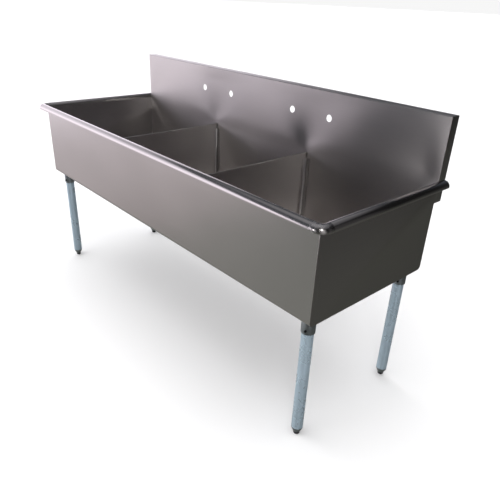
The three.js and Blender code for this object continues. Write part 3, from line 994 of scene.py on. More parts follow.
@dataclass
class SheetBody:
    """The welded body: bowl wrap, two ends, two rim corners and two dividers."""

    sheet: float = 1.5 * MM
    weld_gap: float = 0.3 * MM
    rim_radius: float = 19.05 * MM
    rim_lip: float = 3 * MM
    corner_stub: float = 12 * MM
    rim_run_past: float = 8.5 * MM
    floor_bend: float = 15.25 * MM
    splash_bend: float = 3 * MM
    splash_return: float = 44.45 * MM
    ear_drop: float = 90 * MM
    faucet_hole: float = 28.6 * MM
    faucet_spacing: float = 203.2 * MM
    faucet_drop: float = 102 * MM
    drain_hole: float = 89 * MM
    cove: float = 13.75 * MM
    flange: float = 8 * MM
    hem_depth: float = 24 * MM
    hem_radius: float = 2.25 * MM
    strip: float = 15 * MM
    eased: float = 0.3 * MM
    on_face: float = 0.1 * MM
    floor_wave: float = 0.35 * MM
    cutter_reach: float = 12 * MM
    wrap_low: Vector = field(init=False)
    wrap_high: Vector = field(init=False)
    crown: float = field(init=False)
    inner_end: float = field(init=False)
    divider_top: float = field(init=False)

    def __post_init__(self) -> None:
        """Read the places that the frame gives."""
        self.divider_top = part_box("left_divider")[1].z
        self.wrap_low, self.wrap_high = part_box("bowl_wrap")
        self.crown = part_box("right_rim_corner")[1].z
        self.inner_end = self.wrap_high.x + self.weld_gap

    @property
    def front(self) -> float:
        """Outside of the front wall."""
        return self.wrap_low.y + 2 * self.rim_radius

    @property
    def splash(self) -> float:
        """Face of the splash."""
        return self.wrap_high.y - self.splash_return

    @property
    def rim_centre(self) -> float:
        """Height of the middle of the rolled rim."""
        return self.crown - self.sheet / 2 - self.rim_radius

    @property
    def bowl_floor(self) -> float:
        """Height of the bowl floor's top."""
        return self.wrap_low.z + self.sheet

    def rim_line(self, wall: float, outwards: int, root: float) -> list[Corner]:
        """Give the rolled rim's line, from its wall outwards and down to the lip.

        Args:
            wall: Middle of the wall that it grows from.
            outwards: 1 or -1, the way it rolls.
            root: Height at which the line starts.

        Returns:
            Its corners.
        """
        top = self.rim_centre + self.rim_radius
        out = wall + outwards * 2 * self.rim_radius
        return [
            Corner(wall, root),
            Corner(wall, top, self.rim_radius),
            Corner(out, top, self.rim_radius),
            Corner(out, self.rim_centre - self.rim_lip),
        ]

    def tension(self, point: Vector) -> Vector:
        """Move a point of the wrap by the waves and puckers that welding leaves in thin sheet.

        Args:
            point: A point of the middle of the sheet.

        Returns:
            The moved point.
        """
        moved = point.copy()
        if abs(point.y - self.splash - self.sheet / 2) < self.on_face:
            moved.y += self.splash_wave(point.x, point.z)
        elif abs(point.y - self.front - self.sheet / 2) < self.on_face:
            moved.y += self.apron_wave(point.x, point.z)
        elif abs(point.z - self.wrap_low.z - self.sheet / 2) < self.on_face:
            near = min(abs(point.x - n * 2 * self.inner_end / 3) for n in (-1, 0, 1))
            wave = noise.noise(Vector((point.x * 7, point.y * 7, 1.7)))
            moved.z += self.floor_wave * wave * min(1, near / 0.1)
        return moved

    def splash_wave(self, x: float, z: float) -> float:
        """Give how far the splash bulges backwards at a place on it.

        Args:
            x: Place along the splash.
            z: Height.

        Returns:
            The distance.
        """
        rise = grown_in(self.wrap_high.z - z, 0.05) * grown_in(z - self.wrap_low.z - 0.02, 0.06)
        broad = 1.5 * MM * noise.noise(Vector((x * 3.1, z * 3.4, 4.2)))
        broad += 0.8 * MM * noise.noise(Vector((x * 6.3, z * 6.0, 9.1)))
        above = z - self.divider_top
        pull = 0.0
        for side in (-1, 1):
            from_divider = x - side * self.inner_end / 3
            pull += grown_in(above, 0.05) * pucker(from_divider, above, 0.085, 6.0 * MM, math.pi / 2)
            from_end = x - side * self.inner_end
            pull += pucker(from_end, z - self.rim_centre - 0.01, 0.075, 2.6 * MM, -0.6 * side)
        return rise * grown_in(self.inner_end - abs(x), 0.05) * (broad + pull)

    def apron_wave(self, x: float, z: float) -> float:
        """Give how far the front wall bulges at a place on it.

        Args:
            x: Place along the wall.
            z: Height.

        Returns:
            The distance.
        """
        rise = grown_in(self.rim_centre - z, 0.05) * grown_in(z - self.wrap_low.z - 0.02, 0.05)
        wave = noise.noise(Vector((x * 2.3, z * 2.6, 7.7)))
        return 0.9 * MM * rise * grown_in(self.inner_end - abs(x), 0.05) * wave

    def wrap(self) -> None:
        """Model the sheet that is rim, front wall, floor, back wall, splash and top return in one."""
        front = self.front + self.sheet / 2
        back = self.splash + self.sheet / 2
        low = self.wrap_low.z + self.sheet / 2
        top = self.wrap_high.z - self.sheet / 2
        corners = [
            *self.rim_line(front, -1, 0)[:0:-1],
            Corner(front, low, self.floor_bend),
            Corner(back, low, self.floor_bend),
            Corner(back, top, self.splash_bend),
            Corner(self.wrap_high.y, top),
        ]
        reach = self.wrap_high.x
        rim_end = self.inner_end - self.corner_stub - 0.1 * MM
        stations = [-reach, *even_stations(-rim_end, rim_end, self.strip), reach]
        piece = folded_sheet(
            "bowl_wrap_sheet", corners, Run.X, stations, self.sheet, segments=20, flat_step=self.strip,
            shape=self.tension, left_out=lambda p: abs(p.x) > rim_end and self.in_rim(p),
        )
        cut_away(piece, [*self.faucet_cutters(), *self.drain_cutters()])
        dress(smooth(piece), Finish.WRAP, STEEL_BODY, "bowl_wrap")

    def faucet_cutters(self) -> list[Piece]:
        """Give a cutter for each of the four faucet holes."""
        height = self.wrap_high.z - self.faucet_drop
        near, far = self.splash - self.cutter_reach, self.splash + self.cutter_reach
        sides = [(side, hole) for side in (-1, 1) for hole in (-1, 1)]
        places = [side * self.inner_end / 3 + hole * self.faucet_spacing / 2 for side, hole in sides]
        return [
            rod("cutter", Vector((x, near, height)), Vector((x, far, height)), self.faucet_hole / 2, 64)
            for x in places
        ]

    def drain_cutters(self) -> list[Piece]:
        """Give a cutter for each of the three drain holes."""
        middle = (self.front + self.splash) / 2
        low, high = self.wrap_low.z - self.cutter_reach, self.wrap_low.z + self.cutter_reach
        return [
            rod("cutter", Vector((x, middle, low)), Vector((x, middle, high)), self.drain_hole / 2, 96)
            for x in (n * 2 * self.inner_end / 3 for n in (-1, 0, 1))
        ]

    def in_rim(self, point: Vector) -> bool:
        """Say whether a point of the wrap belongs to its rolled rim."""
        return point.y < self.front - MM or (point.y < self.front + MM and point.z > self.rim_centre)

    def end(self, side: int, word: str) -> None:
        """Model one end: the flat panel with its ear, the rolled rim and the welds along its edge.

        Args:
            side: -1 for the left end and 1 for the right.
            word: left or right, for names.
        """
        inner, outer = side * self.inner_end, side * (self.inner_end + self.sheet)
        rim_start = self.front + self.sheet + self.corner_stub + 0.1 * MM
        back = self.splash + self.sheet
        low = self.wrap_low.z
        bend = self.floor_bend + self.sheet / 2
        ear = self.crown - self.ear_drop
        shoulder = self.rim_centre - 0.4 * MM
        outline = [
            Corner(self.front, shoulder),
            Corner(self.front, low, bend),
            Corner(back, low, bend),
            Corner(back, ear),
            Corner(self.wrap_high.y, ear, 2 * MM),
            Corner(self.wrap_high.y, self.wrap_high.z, 2.5 * MM),
            Corner(self.splash, self.wrap_high.z, 1 * MM),
            Corner(self.splash, shoulder),
        ]
        plate = cut_plate(f"{word}_end_plate", outline, Run.X, min(inner, outer), max(inner, outer))
        ease_edges(plate, self.eased)
        dress(smooth(plate), Finish.ENDS, STEEL_BODY, f"{word}_end_panel")
        line = self.rim_line((inner + outer) / 2, side, shoulder)
        roll = folded_sheet(
            f"{word}_end_roll", line, Run.Y, (rim_start, self.splash + self.rim_run_past), self.sheet,
            segments=24,
        )
        ease_edges(roll, self.eased)
        dress(smooth(roll), Finish.ENDS, STEEL_BODY)
        self.end_seam(side, word)

    def end_seam(self, side: int, word: str) -> None:
        """Model the ground seam that closes the wrap against an end, along its outside.

        Args:
            side: -1 for the left end and 1 for the right.
            word: left or right, for names.
        """
        offset = 0.25 * MM
        front, low, back = self.front + offset, self.wrap_low.z + offset, self.splash + self.sheet - offset
        bend = self.floor_bend + self.sheet / 2 - offset
        line = [
            Corner(front, self.rim_centre - self.rim_lip), Corner(front, low, bend),
            Corner(back, low, bend), Corner(back, self.wrap_high.z - 3 * MM),
        ]
        middle = side * (self.inner_end - self.weld_gap / 2)
        seam = folded_sheet(
            f"{word}_end_seam", line, Run.X, (middle - 0.5 * MM, middle + 0.5 * MM), 0.6 * MM, segments=20,
        )
        dress(smooth(seam), Finish.GROUND, STEEL_BODY)

    def rim_corner(self, side: int, word: str) -> None:
        """Model a rim corner: the roll swept round a quarter, with a short straight at each side.

        Args:
            side: -1 for the left corner and 1 for the right.
            word: left or right, for names.
        """
        corner = Vector((side * self.inner_end, self.front + self.sheet, 0))
        line = self.rim_line(corner.y - self.sheet / 2, -1, self.rim_centre - 0.1 * MM)
        start = corner.x - side * self.corner_stub
        bm = bmesh.new()
        draw_line(bm, (Vector((start, c.across, c.up)) for c in line), line, 24)
        steady_bends(bm)
        verts, front = drawn_out(bm, bm.edges[:], Vector((side * self.corner_stub, 0, 0)))
        swept = bmesh.ops.spin(
            bm, geom=verts + front, cent=corner, axis=(0, 0, 1), angle=side * math.pi / 2, steps=24,
            use_merge=False,
        )["geom_last"]
        front = [g for g in swept if isinstance(g, bmesh.types.BMEdge)]
        drawn_out(bm, front, Vector((0, self.corner_stub, 0)))
        bmesh.ops.remove_doubles(bm, verts=bm.verts[:], dist=SAME_PLACE)
        bmesh.ops.recalc_face_normals(bm, faces=bm.faces[:])
        piece = thicken(to_piece(f"{word}_corner_roll", bm), self.sheet)
        dress(smooth(piece, 50), Finish.GROUND, STEEL_BODY, f"{word}_rim_corner")

    def divider(self, side: int, word: str) -> None:
        """Model a divider: web and hem in one fold, coved flanges at both ends, and their welds.

        Args:
            side: -1 for the left divider and 1 for the right.
            word: left or right, for names.
        """
        x = side * self.inner_end / 3
        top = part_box(f"{word}_divider")[1].z
        front, back = self.front + self.sheet + self.weld_gap, self.splash - self.weld_gap
        foot = self.bowl_floor + self.weld_gap
        cove_foot = self.bowl_floor + self.floor_bend - self.sheet / 2 + self.weld_gap
        web = self.cove + self.sheet / 2
        hem_foot = top - self.hem_depth
        fold = [
            Corner(x, foot),
            Corner(x, top - self.sheet / 2, self.hem_radius),
            Corner(x + 2 * self.hem_radius, top - self.sheet / 2, self.hem_radius),
            Corner(x + 2 * self.hem_radius, hem_foot),
        ]
        panel = folded_sheet(
            f"{word}_divider_web", fold, Run.Y, even_stations(front, back, self.strip), self.sheet,
            segments=12, flat_step=self.strip, shape=lambda point: self.web_wave(point, x, hem_foot),
        )
        cutters = []
        for start, end in ((front - 0.02, front + web), (back - web, back + 0.02)):
            cutters.append(block("cutter", (x - 0.02, start, cove_foot), (x + 0.02, end, hem_foot)))
        cut_away(panel, [*cutters, *self.floor_bend_cutters(x, front, back, foot)])
        ease_edges(panel, 0.25 * MM)
        dress(smooth(panel), Finish.ENDS, STEEL_BODY, f"{word}_divider")
        flange = x + self.cove + self.flange
        near, far = front + self.sheet / 2, back - self.sheet / 2
        coves = {
            "front": [Corner(flange, near), Corner(x, near, self.cove), Corner(x, front + web)],
            "back": [Corner(x, back - web), Corner(x, far, self.cove), Corner(flange, far)],
        }
        for place, cove in coves.items():
            piece = folded_sheet(
                f"{word}_divider_{place}_cove", cove, Run.Z, (cove_foot, hem_foot), self.sheet,
            )
            ease_edges(piece, 0.25 * MM)
            dress(smooth(piece), Finish.ENDS, STEEL_BODY)
        self.divider_welds(word, x, (front, back), (cove_foot, hem_foot, top - 2 * MM))

    def web_wave(self, point: Vector, x: float, hem_foot: float) -> Vector:
        """Move a point of a divider's web by its slight waves, which fade out at its edges.

        Args:
            point: A point of the middle of the sheet.
            x: Where the web stands.
            hem_foot: Height of the hem's foot.

        Returns:
            The moved point.
        """
        moved = point.copy()
        below = hem_foot - 0.01 - point.z
        if abs(point.x - x) < self.on_face and below > 0:
            rise = min(grown_in(below, 0.04), grown_in(point.z - self.bowl_floor - 0.01, 0.04))
            across = min(
                grown_in(point.y - self.front - 0.03, 0.04), grown_in(self.splash - 0.03 - point.y, 0.04),
            )
            moved.x += 0.8 * MM * rise * across * noise.noise(Vector((x * 5, point.y * 4, point.z * 4)))
        return moved

    def floor_bend_cutters(self, x: float, front: float, back: float, foot: float) -> list[Piece]:
        """Give the cutters that round a divider's lower corners to the bends of the bowl floor.

        Args:
            x: Where the divider stands.
            front: Its front edge.
            back: Its back edge.
            foot: Its lower edge.

        Returns:
            The cutters.
        """
        radius = self.floor_bend - self.sheet / 2
        past = 0.01
        cutters = []
        for edge, inwards in ((front, 1), (back, -1)):
            outside, inside = edge - inwards * past, edge + inwards * radius
            line = [
                Corner(outside, foot - past), Corner(outside, foot + radius), Corner(edge, foot + radius),
                Corner(edge, foot, radius), Corner(inside, foot), Corner(inside, foot - past),
            ]
            cutters.append(cut_plate("cutter", line, Run.X, x - past, x + past))
        return cutters

    def divider_welds(self, word: str, x: float, ends: Span, heights: tuple[float, float, float]) -> None:
        """Model the weld beads along a divider's flanges, its hem ends and its foot.

        Args:
            word: left or right, for names.
            x: Where the divider stands.
            ends: Its front and back edges.
            heights: Foot of the flanges, foot of the hem and top of the hem's welds.
        """
        low, high, top = heights
        flange = x + self.cove + self.flange
        web, hem = x - self.sheet / 2, x + 2 * self.hem_radius + self.sheet / 2
        beads = []
        for edge, inwards in zip(ends, (1, -1)):
            y = edge + inwards * 0.6 * MM
            for place, start, end in ((flange, low, high), (web, high, top), (hem, high, top)):
                beads.append(rippled_bead(Vector((place, y, start)), Vector((place, y, end))))
        front, back = ends[0] + self.floor_bend, ends[1] - self.floor_bend
        height = self.bowl_floor + 0.4 * MM
        for place in (x - self.sheet / 2, x + self.sheet / 2):
            beads.append(rippled_bead(Vector((place, front, height)), Vector((place, back, height))))
        dress(smooth(join(f"{word}_divider_welds", beads), 60), Finish.WELD, STEEL_BODY)

    def build(self) -> None:
        """Model and dress the whole body."""
        self.wrap()
        for side, word in ((-1, "left"), (1, "right")):
            self.end(side, word)
            self.rim_corner(side, word)
            self.divider(side, word)


# ---- Legs ----


@dataclass
class Repeated:
    """Pieces that are modelled in their first place and copied to the others."""

    names: tuple[str, ...]
    lead: str
    axis: Vector = field(init=False)

    def __post_init__(self) -> None:
        """Find the upright axis of the first place, which the leading part gives."""
        self.axis = upright_axis(f"{self.names[0]}_{self.lead}")

    def box(self, part: str) -> tuple[Vector, Vector]:
        """Give the low and the high corner of a part in the first place."""
        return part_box(f"{self.names[0]}_{part}")

    def named(self, part: str) -> str:
        """Give the name of a part's piece in the first place."""
        return f"{self.names[0]}_{part}_piece"

    def turned(self, part: str, corners: Sequence[Corner], segments: int = 64, ring: bool = True) -> Piece:
        """Turn a part's profile about the first place's axis, as turned() does for any piece."""
        return turned(self.named(part), corners, self.axis, segments, ring)


@dataclass
class Legs(Repeated):
    """Four tube legs, each with its plate, socket, set screw, insert and levelling foot."""

    names: tuple[str, ...] = ("front_left", "front_right", "rear_left", "rear_right")
    lead: str = "leg_tube"
    tube_wall: float = 1.6 * MM
    plate_corner: float = 8 * MM
    weld_size: float = 2.6 * MM
    puddles: int = 34
    puddle_height: float = 0.5 * MM
    socket_chamfer: float = 2.5 * MM
    screw_turn: float = math.radians(20)
    insert_shoulder: float = 4 * MM
    thread_pitch: float = 1.75 * MM

    def build(self) -> None:
        """Model one leg in place and copy it to the other three places."""
        patterns = {
            "leg_plate": Pattern(self.plate(), Finish.FLOOR_PLATE),
            "leg_socket": Pattern(self.socket(), Finish.CASTING),
            "set_screw": Pattern(self.screw(), Finish.SCREW),
            "leg_tube": Pattern(self.tube(), Finish.TUBE),
            "foot_insert": Pattern(self.insert(), Finish.CASTING),
            "foot": Pattern(self.foot(), Finish.PLASTIC, "{place}_foot"),
        }
        for name in self.names:
            axis = upright_axis(f"{name}_{self.lead}")
            set_down(name, axis - self.axis, patterns)
            self.socket_weld(name, axis)

    def plate(self) -> Piece:
        """Model the stiffening plate above a socket.

        Returns:
            The new piece.
        """
        low, high = self.box("leg_plate")
        outline = [
            Corner(low.x, low.y, self.plate_corner), Corner(high.x, low.y, self.plate_corner),
            Corner(high.x, high.y, self.plate_corner), Corner(low.x, high.y, self.plate_corner),
        ]
        piece = cut_plate(self.named("leg_plate"), outline, Run.Z, low.z, high.z, 8)
        return smooth(ease_edges(piece, 0.4 * MM))

    def socket(self) -> Piece:
        """Model the socket ring with its chamfered mouth and its screw hole.

        Returns:
            The new piece.
        """
        low, high = self.box("leg_socket")
        tube_low, tube_high = self.box("leg_tube")
        outer = (high.y - low.y) / 2
        bore = (tube_high.x - tube_low.x) / 2 + 0.4 * MM
        ring = self.turned("leg_socket", [
            Corner(bore, low.z, 0.5 * MM),
            Corner(outer - self.socket_chamfer, low.z, 0.6 * MM),
            Corner(outer, low.z + self.socket_chamfer, 0.8 * MM),
            Corner(outer, high.z, 0.5 * MM),
            Corner(bore, high.z),
        ])
        start, end = self.screw_line()
        way = (end - start).normalized()
        return smooth(cut_away(ring, [rod("cutter", start, end + 0.02 * way, 4.3 * MM, 32)]))

    def screw_line(self) -> tuple[Vector, Vector]:
        """Give the line on which a set screw lies.

        Returns:
            The inner and the outer end of the line.
        """
        low, high = self.box("set_screw")
        tube_low, tube_high = self.box("leg_tube")
        height = (low.z + high.z) / 2
        way = Vector((math.sin(self.screw_turn), -math.cos(self.screw_turn), 0))
        start = (tube_high.x - tube_low.x) / 2 + 0.3 * MM
        base = Vector((self.axis.x, self.axis.y, height))
        return base + start * way, base + (start + 7.5 * MM) * way

    def screw(self) -> Piece:
        """Model a set screw with its key recess and rounded edge.

        Returns:
            The new piece.
        """
        start, end = self.screw_line()
        way = (end - start).normalized()
        shank = rod(self.named("set_screw"), start, end, 4 * MM, 40)
        ease_edges(shank, 0.5 * MM)
        key = rod("cutter", end - 3 * MM * way, end + 2 * MM * way, 2.2 * MM, 6)
        return smooth(cut_away(shank, [key]))

    def socket_weld(self, name: str, axis: Vector) -> None:
        """Model the fillet weld between a socket and its plate, with its puddles.

        Args:
            name: Place of the leg.
            axis: The foot of its upright axis.
        """
        low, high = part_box(f"{name}_leg_socket")
        outer = (high.y - low.y) / 2
        foot, root = outer - 0.4 * MM, high.z
        bead = turned(f"{name}_socket_weld", [
            Corner(foot, root - 3.2 * MM), Corner(outer + 1.0 * MM, root - 2.2 * MM, 0.6 * MM),
            Corner(outer + self.weld_size, root + 0.1 * MM, 0.6 * MM), Corner(foot, root + 0.3 * MM),
        ], axis, segments=96)
        for vert in bead.data.vertices:
            away = Vector((vert.co.x - axis.x, vert.co.y - axis.y, 0))
            if away.length > outer:
                puddle = self.puddle_height * math.cos(self.puddles * math.atan2(away.y, away.x))
                vert.co += puddle * away.normalized() * (away.length - outer) / self.weld_size
        dress(smooth(bead, 60), Finish.WELD, STEEL_BODY)

    def tube(self) -> Piece:
        """Model a leg tube with eased ends.

        Returns:
            The new piece.
        """
        low, high = self.box("leg_tube")
        radius = (high.x - low.x) / 2
        bore = radius - self.tube_wall
        return self.turned("leg_tube", [
            Corner(bore, low.z, 0.3 * MM), Corner(radius, low.z, 0.5 * MM),
            Corner(radius, high.z, 0.5 * MM), Corner(bore, high.z, 0.3 * MM),
        ], segments=96)

    def insert(self) -> Piece:
        """Model the insert: plug inside the tube, tapered nose below it, and a bored middle.

        Returns:
            The new piece.
        """
        low, high = self.box("foot_insert")
        tube_low, tube_high = self.box("leg_tube")
        stud = 6.4 * MM
        radius = (high.x - low.x) / 2
        plug = radius - self.tube_wall - 0.3 * MM
        shoulder = tube_low.z - 0.3 * MM
        return self.turned("foot_insert", [
            Corner(stud, low.z, 0.4 * MM),
            Corner(13 * MM, low.z, 1.0 * MM),
            Corner(radius, shoulder - self.insert_shoulder, 1.2 * MM),
            Corner(radius, shoulder, 0.4 * MM),
            Corner(plug, shoulder, 0.2 * MM),
            Corner(plug, high.z, 1.0 * MM),
            Corner(stud, high.z, 0.4 * MM),
        ], segments=72)

    def foot(self) -> Piece:
        """Model a foot: rounded pad with grip flats, and its stud with thread ridges.

        Returns:
            The new piece.
        """
        low, high = self.box("foot")
        pad, stud, top = 11 * MM, 6 * MM, 11 * MM
        profile = [
            Corner(0, low.z), Corner(pad - 2 * MM, low.z, 0.5 * MM), Corner(pad, low.z + 2 * MM, 0.8 * MM),
            Corner(pad, low.z + top, 0.8 * MM),
        ]
        height = low.z + top
        root = stud - 0.7 * MM
        while height + self.thread_pitch < high.z - MM:
            profile.append(Corner(root, height))
            profile.append(Corner(stud, height + self.thread_pitch / 2))
            height += self.thread_pitch
        profile += [Corner(root, height), Corner(root, high.z, 0.8 * MM), Corner(0, high.z)]
        piece = self.turned("foot", profile, segments=48, ring=False)
        flats = []
        low_flat, high_flat = low.z + 4 * MM, low.z + 9 * MM
        for way in (-1, 1):
            near, far = sorted((self.axis.x + way * 9.6 * MM, self.axis.x + way * 14 * MM))
            sides = self.axis.y - 0.02, self.axis.y + 0.02
            flats.append(block("cutter", (near, sides[0], low_flat), (far, sides[1], high_flat)))
        return smooth(cut_away(piece, flats))


# ---- Drains ----


@dataclass
class Drains(Repeated):
    """Three basket drains: flanged body, gasket, lock nut, strainer, tailpiece and coupling nut."""

    names: tuple[str, ...] = ("left", "middle", "right")
    lead: str = "drain_body"
    hole_rings: tuple[tuple[int, float], ...] = ((8, 12.5), (14, 20.0), (20, 27.5))
    hole: float = 2.1 * MM

    def build(self) -> None:
        """Model one drain in place and copy it to the other two places."""
        patterns = {
            "drain_body": Pattern(self.body(), Finish.DRAIN),
            "drain_gasket": Pattern(self.gasket(), Finish.RUBBER),
            "drain_lock_nut": Pattern(self.lock_nut(), Finish.CASTING),
            "strainer_basket": Pattern(self.basket(), Finish.DRAIN, "{place}_basket"),
            "tailpiece": Pattern(self.tailpiece(), Finish.CHROME),
            "coupling_nut": Pattern(self.coupling_nut(), Finish.CHROME),
        }
        for name in self.names:
            set_down(name, upright_axis(f"{name}_{self.lead}") - self.axis, patterns)

    def body(self) -> Piece:
        """Model the flange, cup, cone and spigot in one turned piece, open all the way down.

        Returns:
            The new piece.
        """
        low, high = self.box("drain_body")
        flange = (high.x - low.x) / 2
        floor = high.z - 2.8 * MM
        under = high.z - 2.5 * MM
        cup, bore = 42 * MM, 40 * MM
        seat, cup_low = floor - 9.5 * MM, floor - 35.5 * MM
        seat_radius = bore - 2.5 * MM
        cone = cup_low - 6 * MM
        spigot = 23 * MM
        return self.turned("drain_body", [
            Corner(spigot - 4 * MM, low.z, 0.3 * MM), Corner(spigot, low.z, 0.6 * MM),
            Corner(spigot, cone, 2 * MM), Corner(cup, cup_low, 2.5 * MM), Corner(cup, under, 0.3 * MM),
            Corner(flange, under, 0.2 * MM), Corner(flange - 1.5 * MM, high.z, 0.8 * MM),
            Corner(bore, high.z, 0.9 * MM), Corner(bore, seat, 0.5 * MM),
            Corner(seat_radius, seat, 0.5 * MM),
            Corner(seat_radius, cup_low + 2 * MM, 2 * MM), Corner(spigot - 4 * MM, cone + 2 * MM, 2 * MM),
        ], segments=96)

    def gasket(self) -> Piece:
        """Model the rubber ring, slightly bulged by the nut.

        Returns:
            The new piece.
        """
        low, high = self.box("drain_gasket")
        outer = (high.x - low.x) / 2
        bore = outer - 11 * MM
        return self.turned("drain_gasket", [
            Corner(bore, low.z, 0.4 * MM), Corner(outer, low.z, 1.4 * MM),
            Corner(outer, high.z, 1.4 * MM), Corner(bore, high.z, 0.4 * MM),
        ])

    def lugged(self, name: str, low: float, high: float, bore: float, body: float,
               lugs: int, lug: float, easing: float) -> Piece:
        """Model a ring with evenly spaced lugs round its outside.

        Args:
            name: Name of the piece.
            low: Its lower height.
            high: Its upper height.
            bore: Radius of its hole.
            body: Radius between the lugs.
            lugs: How many lugs.
            lug: Height of a lug.
            easing: Rounding of its edges.

        Returns:
            The new piece.
        """
        bm = bmesh.new()
        steps = lugs * 8
        share = 2 * math.pi / lugs
        for vert in bmesh.ops.create_circle(bm, segments=steps, radius=body)["verts"]:
            if 0.2 < math.atan2(vert.co.y, vert.co.x) % share / share < 0.8:
                vert.co *= (body + lug) / body
        bmesh.ops.create_circle(bm, segments=steps, radius=bore)
        bmesh.ops.bridge_loops(bm, edges=bm.edges[:])
        bmesh.ops.translate(bm, vec=(self.axis.x, self.axis.y, low), verts=bm.verts[:])
        raise_faces(bm, Vector((0, 0, high - low)))
        return smooth(ease_edges(to_piece(name, bm), easing, 2, 45), 40)

    def lock_nut(self) -> Piece:
        """Model the lock nut.

        Returns:
            The new piece.
        """
        low, high = self.box("drain_lock_nut")
        bore = 42.4 * MM
        return self.lugged(
            self.named("drain_lock_nut"), low.z, high.z, bore, bore + 9.5 * MM, 8, 4 * MM, 0.7 * MM,
        )

    def coupling_nut(self) -> Piece:
        """Model the coupling nut: ribbed collar with a shoulder under it.

        Returns:
            The new piece.
        """
        low, high = self.box("coupling_nut")
        bore, ribs = 23.4 * MM, 12
        body = bore + 3.4 * MM
        shoulder = low.z + 3 * MM
        collar = self.lugged("collar", shoulder, high.z, bore, body, ribs, 1.6 * MM, 0.5 * MM)
        ring = self.lugged("ring", low.z, shoulder, 19.45 * MM, body, ribs, 1.6 * MM, 0.5 * MM)
        return smooth(join(self.named("coupling_nut"), [collar, ring]), 40)

    def tailpiece(self) -> Piece:
        """Model the tailpiece tube with its flange.

        Returns:
            The new piece.
        """
        low, high = self.box("tailpiece")
        radius = 19.05 * MM
        bore, flange = radius - 1.5 * MM, radius + 3 * MM
        return self.turned("tailpiece", [
            Corner(bore, low.z, 0.3 * MM), Corner(radius, low.z, 0.5 * MM),
            Corner(radius, high.z - 2 * MM, 0.8 * MM), Corner(flange, high.z - 2 * MM, 0.5 * MM),
            Corner(flange, high.z, 0.5 * MM), Corner(bore, high.z, 0.6 * MM),
        ])

    def basket(self) -> Piece:
        """Model the strainer: rolled rim, tapered cup, drilled floor, and a post with its knob.

        Returns:
            The new piece.
        """
        low, high = self.box("strainer_basket")
        rim = (high.x - low.x) / 2
        wall = 1.5 * MM
        rim_low = high.z - 16 * MM
        cup, foot = 36.7 * MM, 34.7 * MM
        knob = high.z - 6 * MM
        post, ball = 3.5 * MM, 8 * MM
        piece = self.turned("strainer_basket", [
            Corner(0, low.z), Corner(foot, low.z, 3 * MM), Corner(cup, rim_low, 0.4 * MM),
            Corner(rim, rim_low, 0.3 * MM), Corner(rim, rim_low + wall, 0.7 * MM),
            Corner(cup - wall, rim_low + wall, 1.2 * MM), Corner(foot - wall, low.z + wall, 2 * MM),
            Corner(post, low.z + wall, 1.2 * MM), Corner(post, knob, 0.8 * MM),
            Corner(ball, knob, 1.2 * MM), Corner(ball, high.z, 2.2 * MM), Corner(0, high.z),
        ], segments=96, ring=False)
        under, over = Vector((0, 0, low.z - MM)), Vector((0, 0, low.z + 3 * MM))
        drills = []
        for count, radius in self.hole_rings:
            for i in range(count):
                angle = 2 * math.pi * (i + 0.5) / count
                spot = self.axis + radius * MM * Vector((math.cos(angle), math.sin(angle), 0))
                drills.append(rod("drill", spot + under, spot + over, self.hole, 12))
        return smooth(cut_away(piece, [join("cutter", drills)]))


# ---- Studio ----


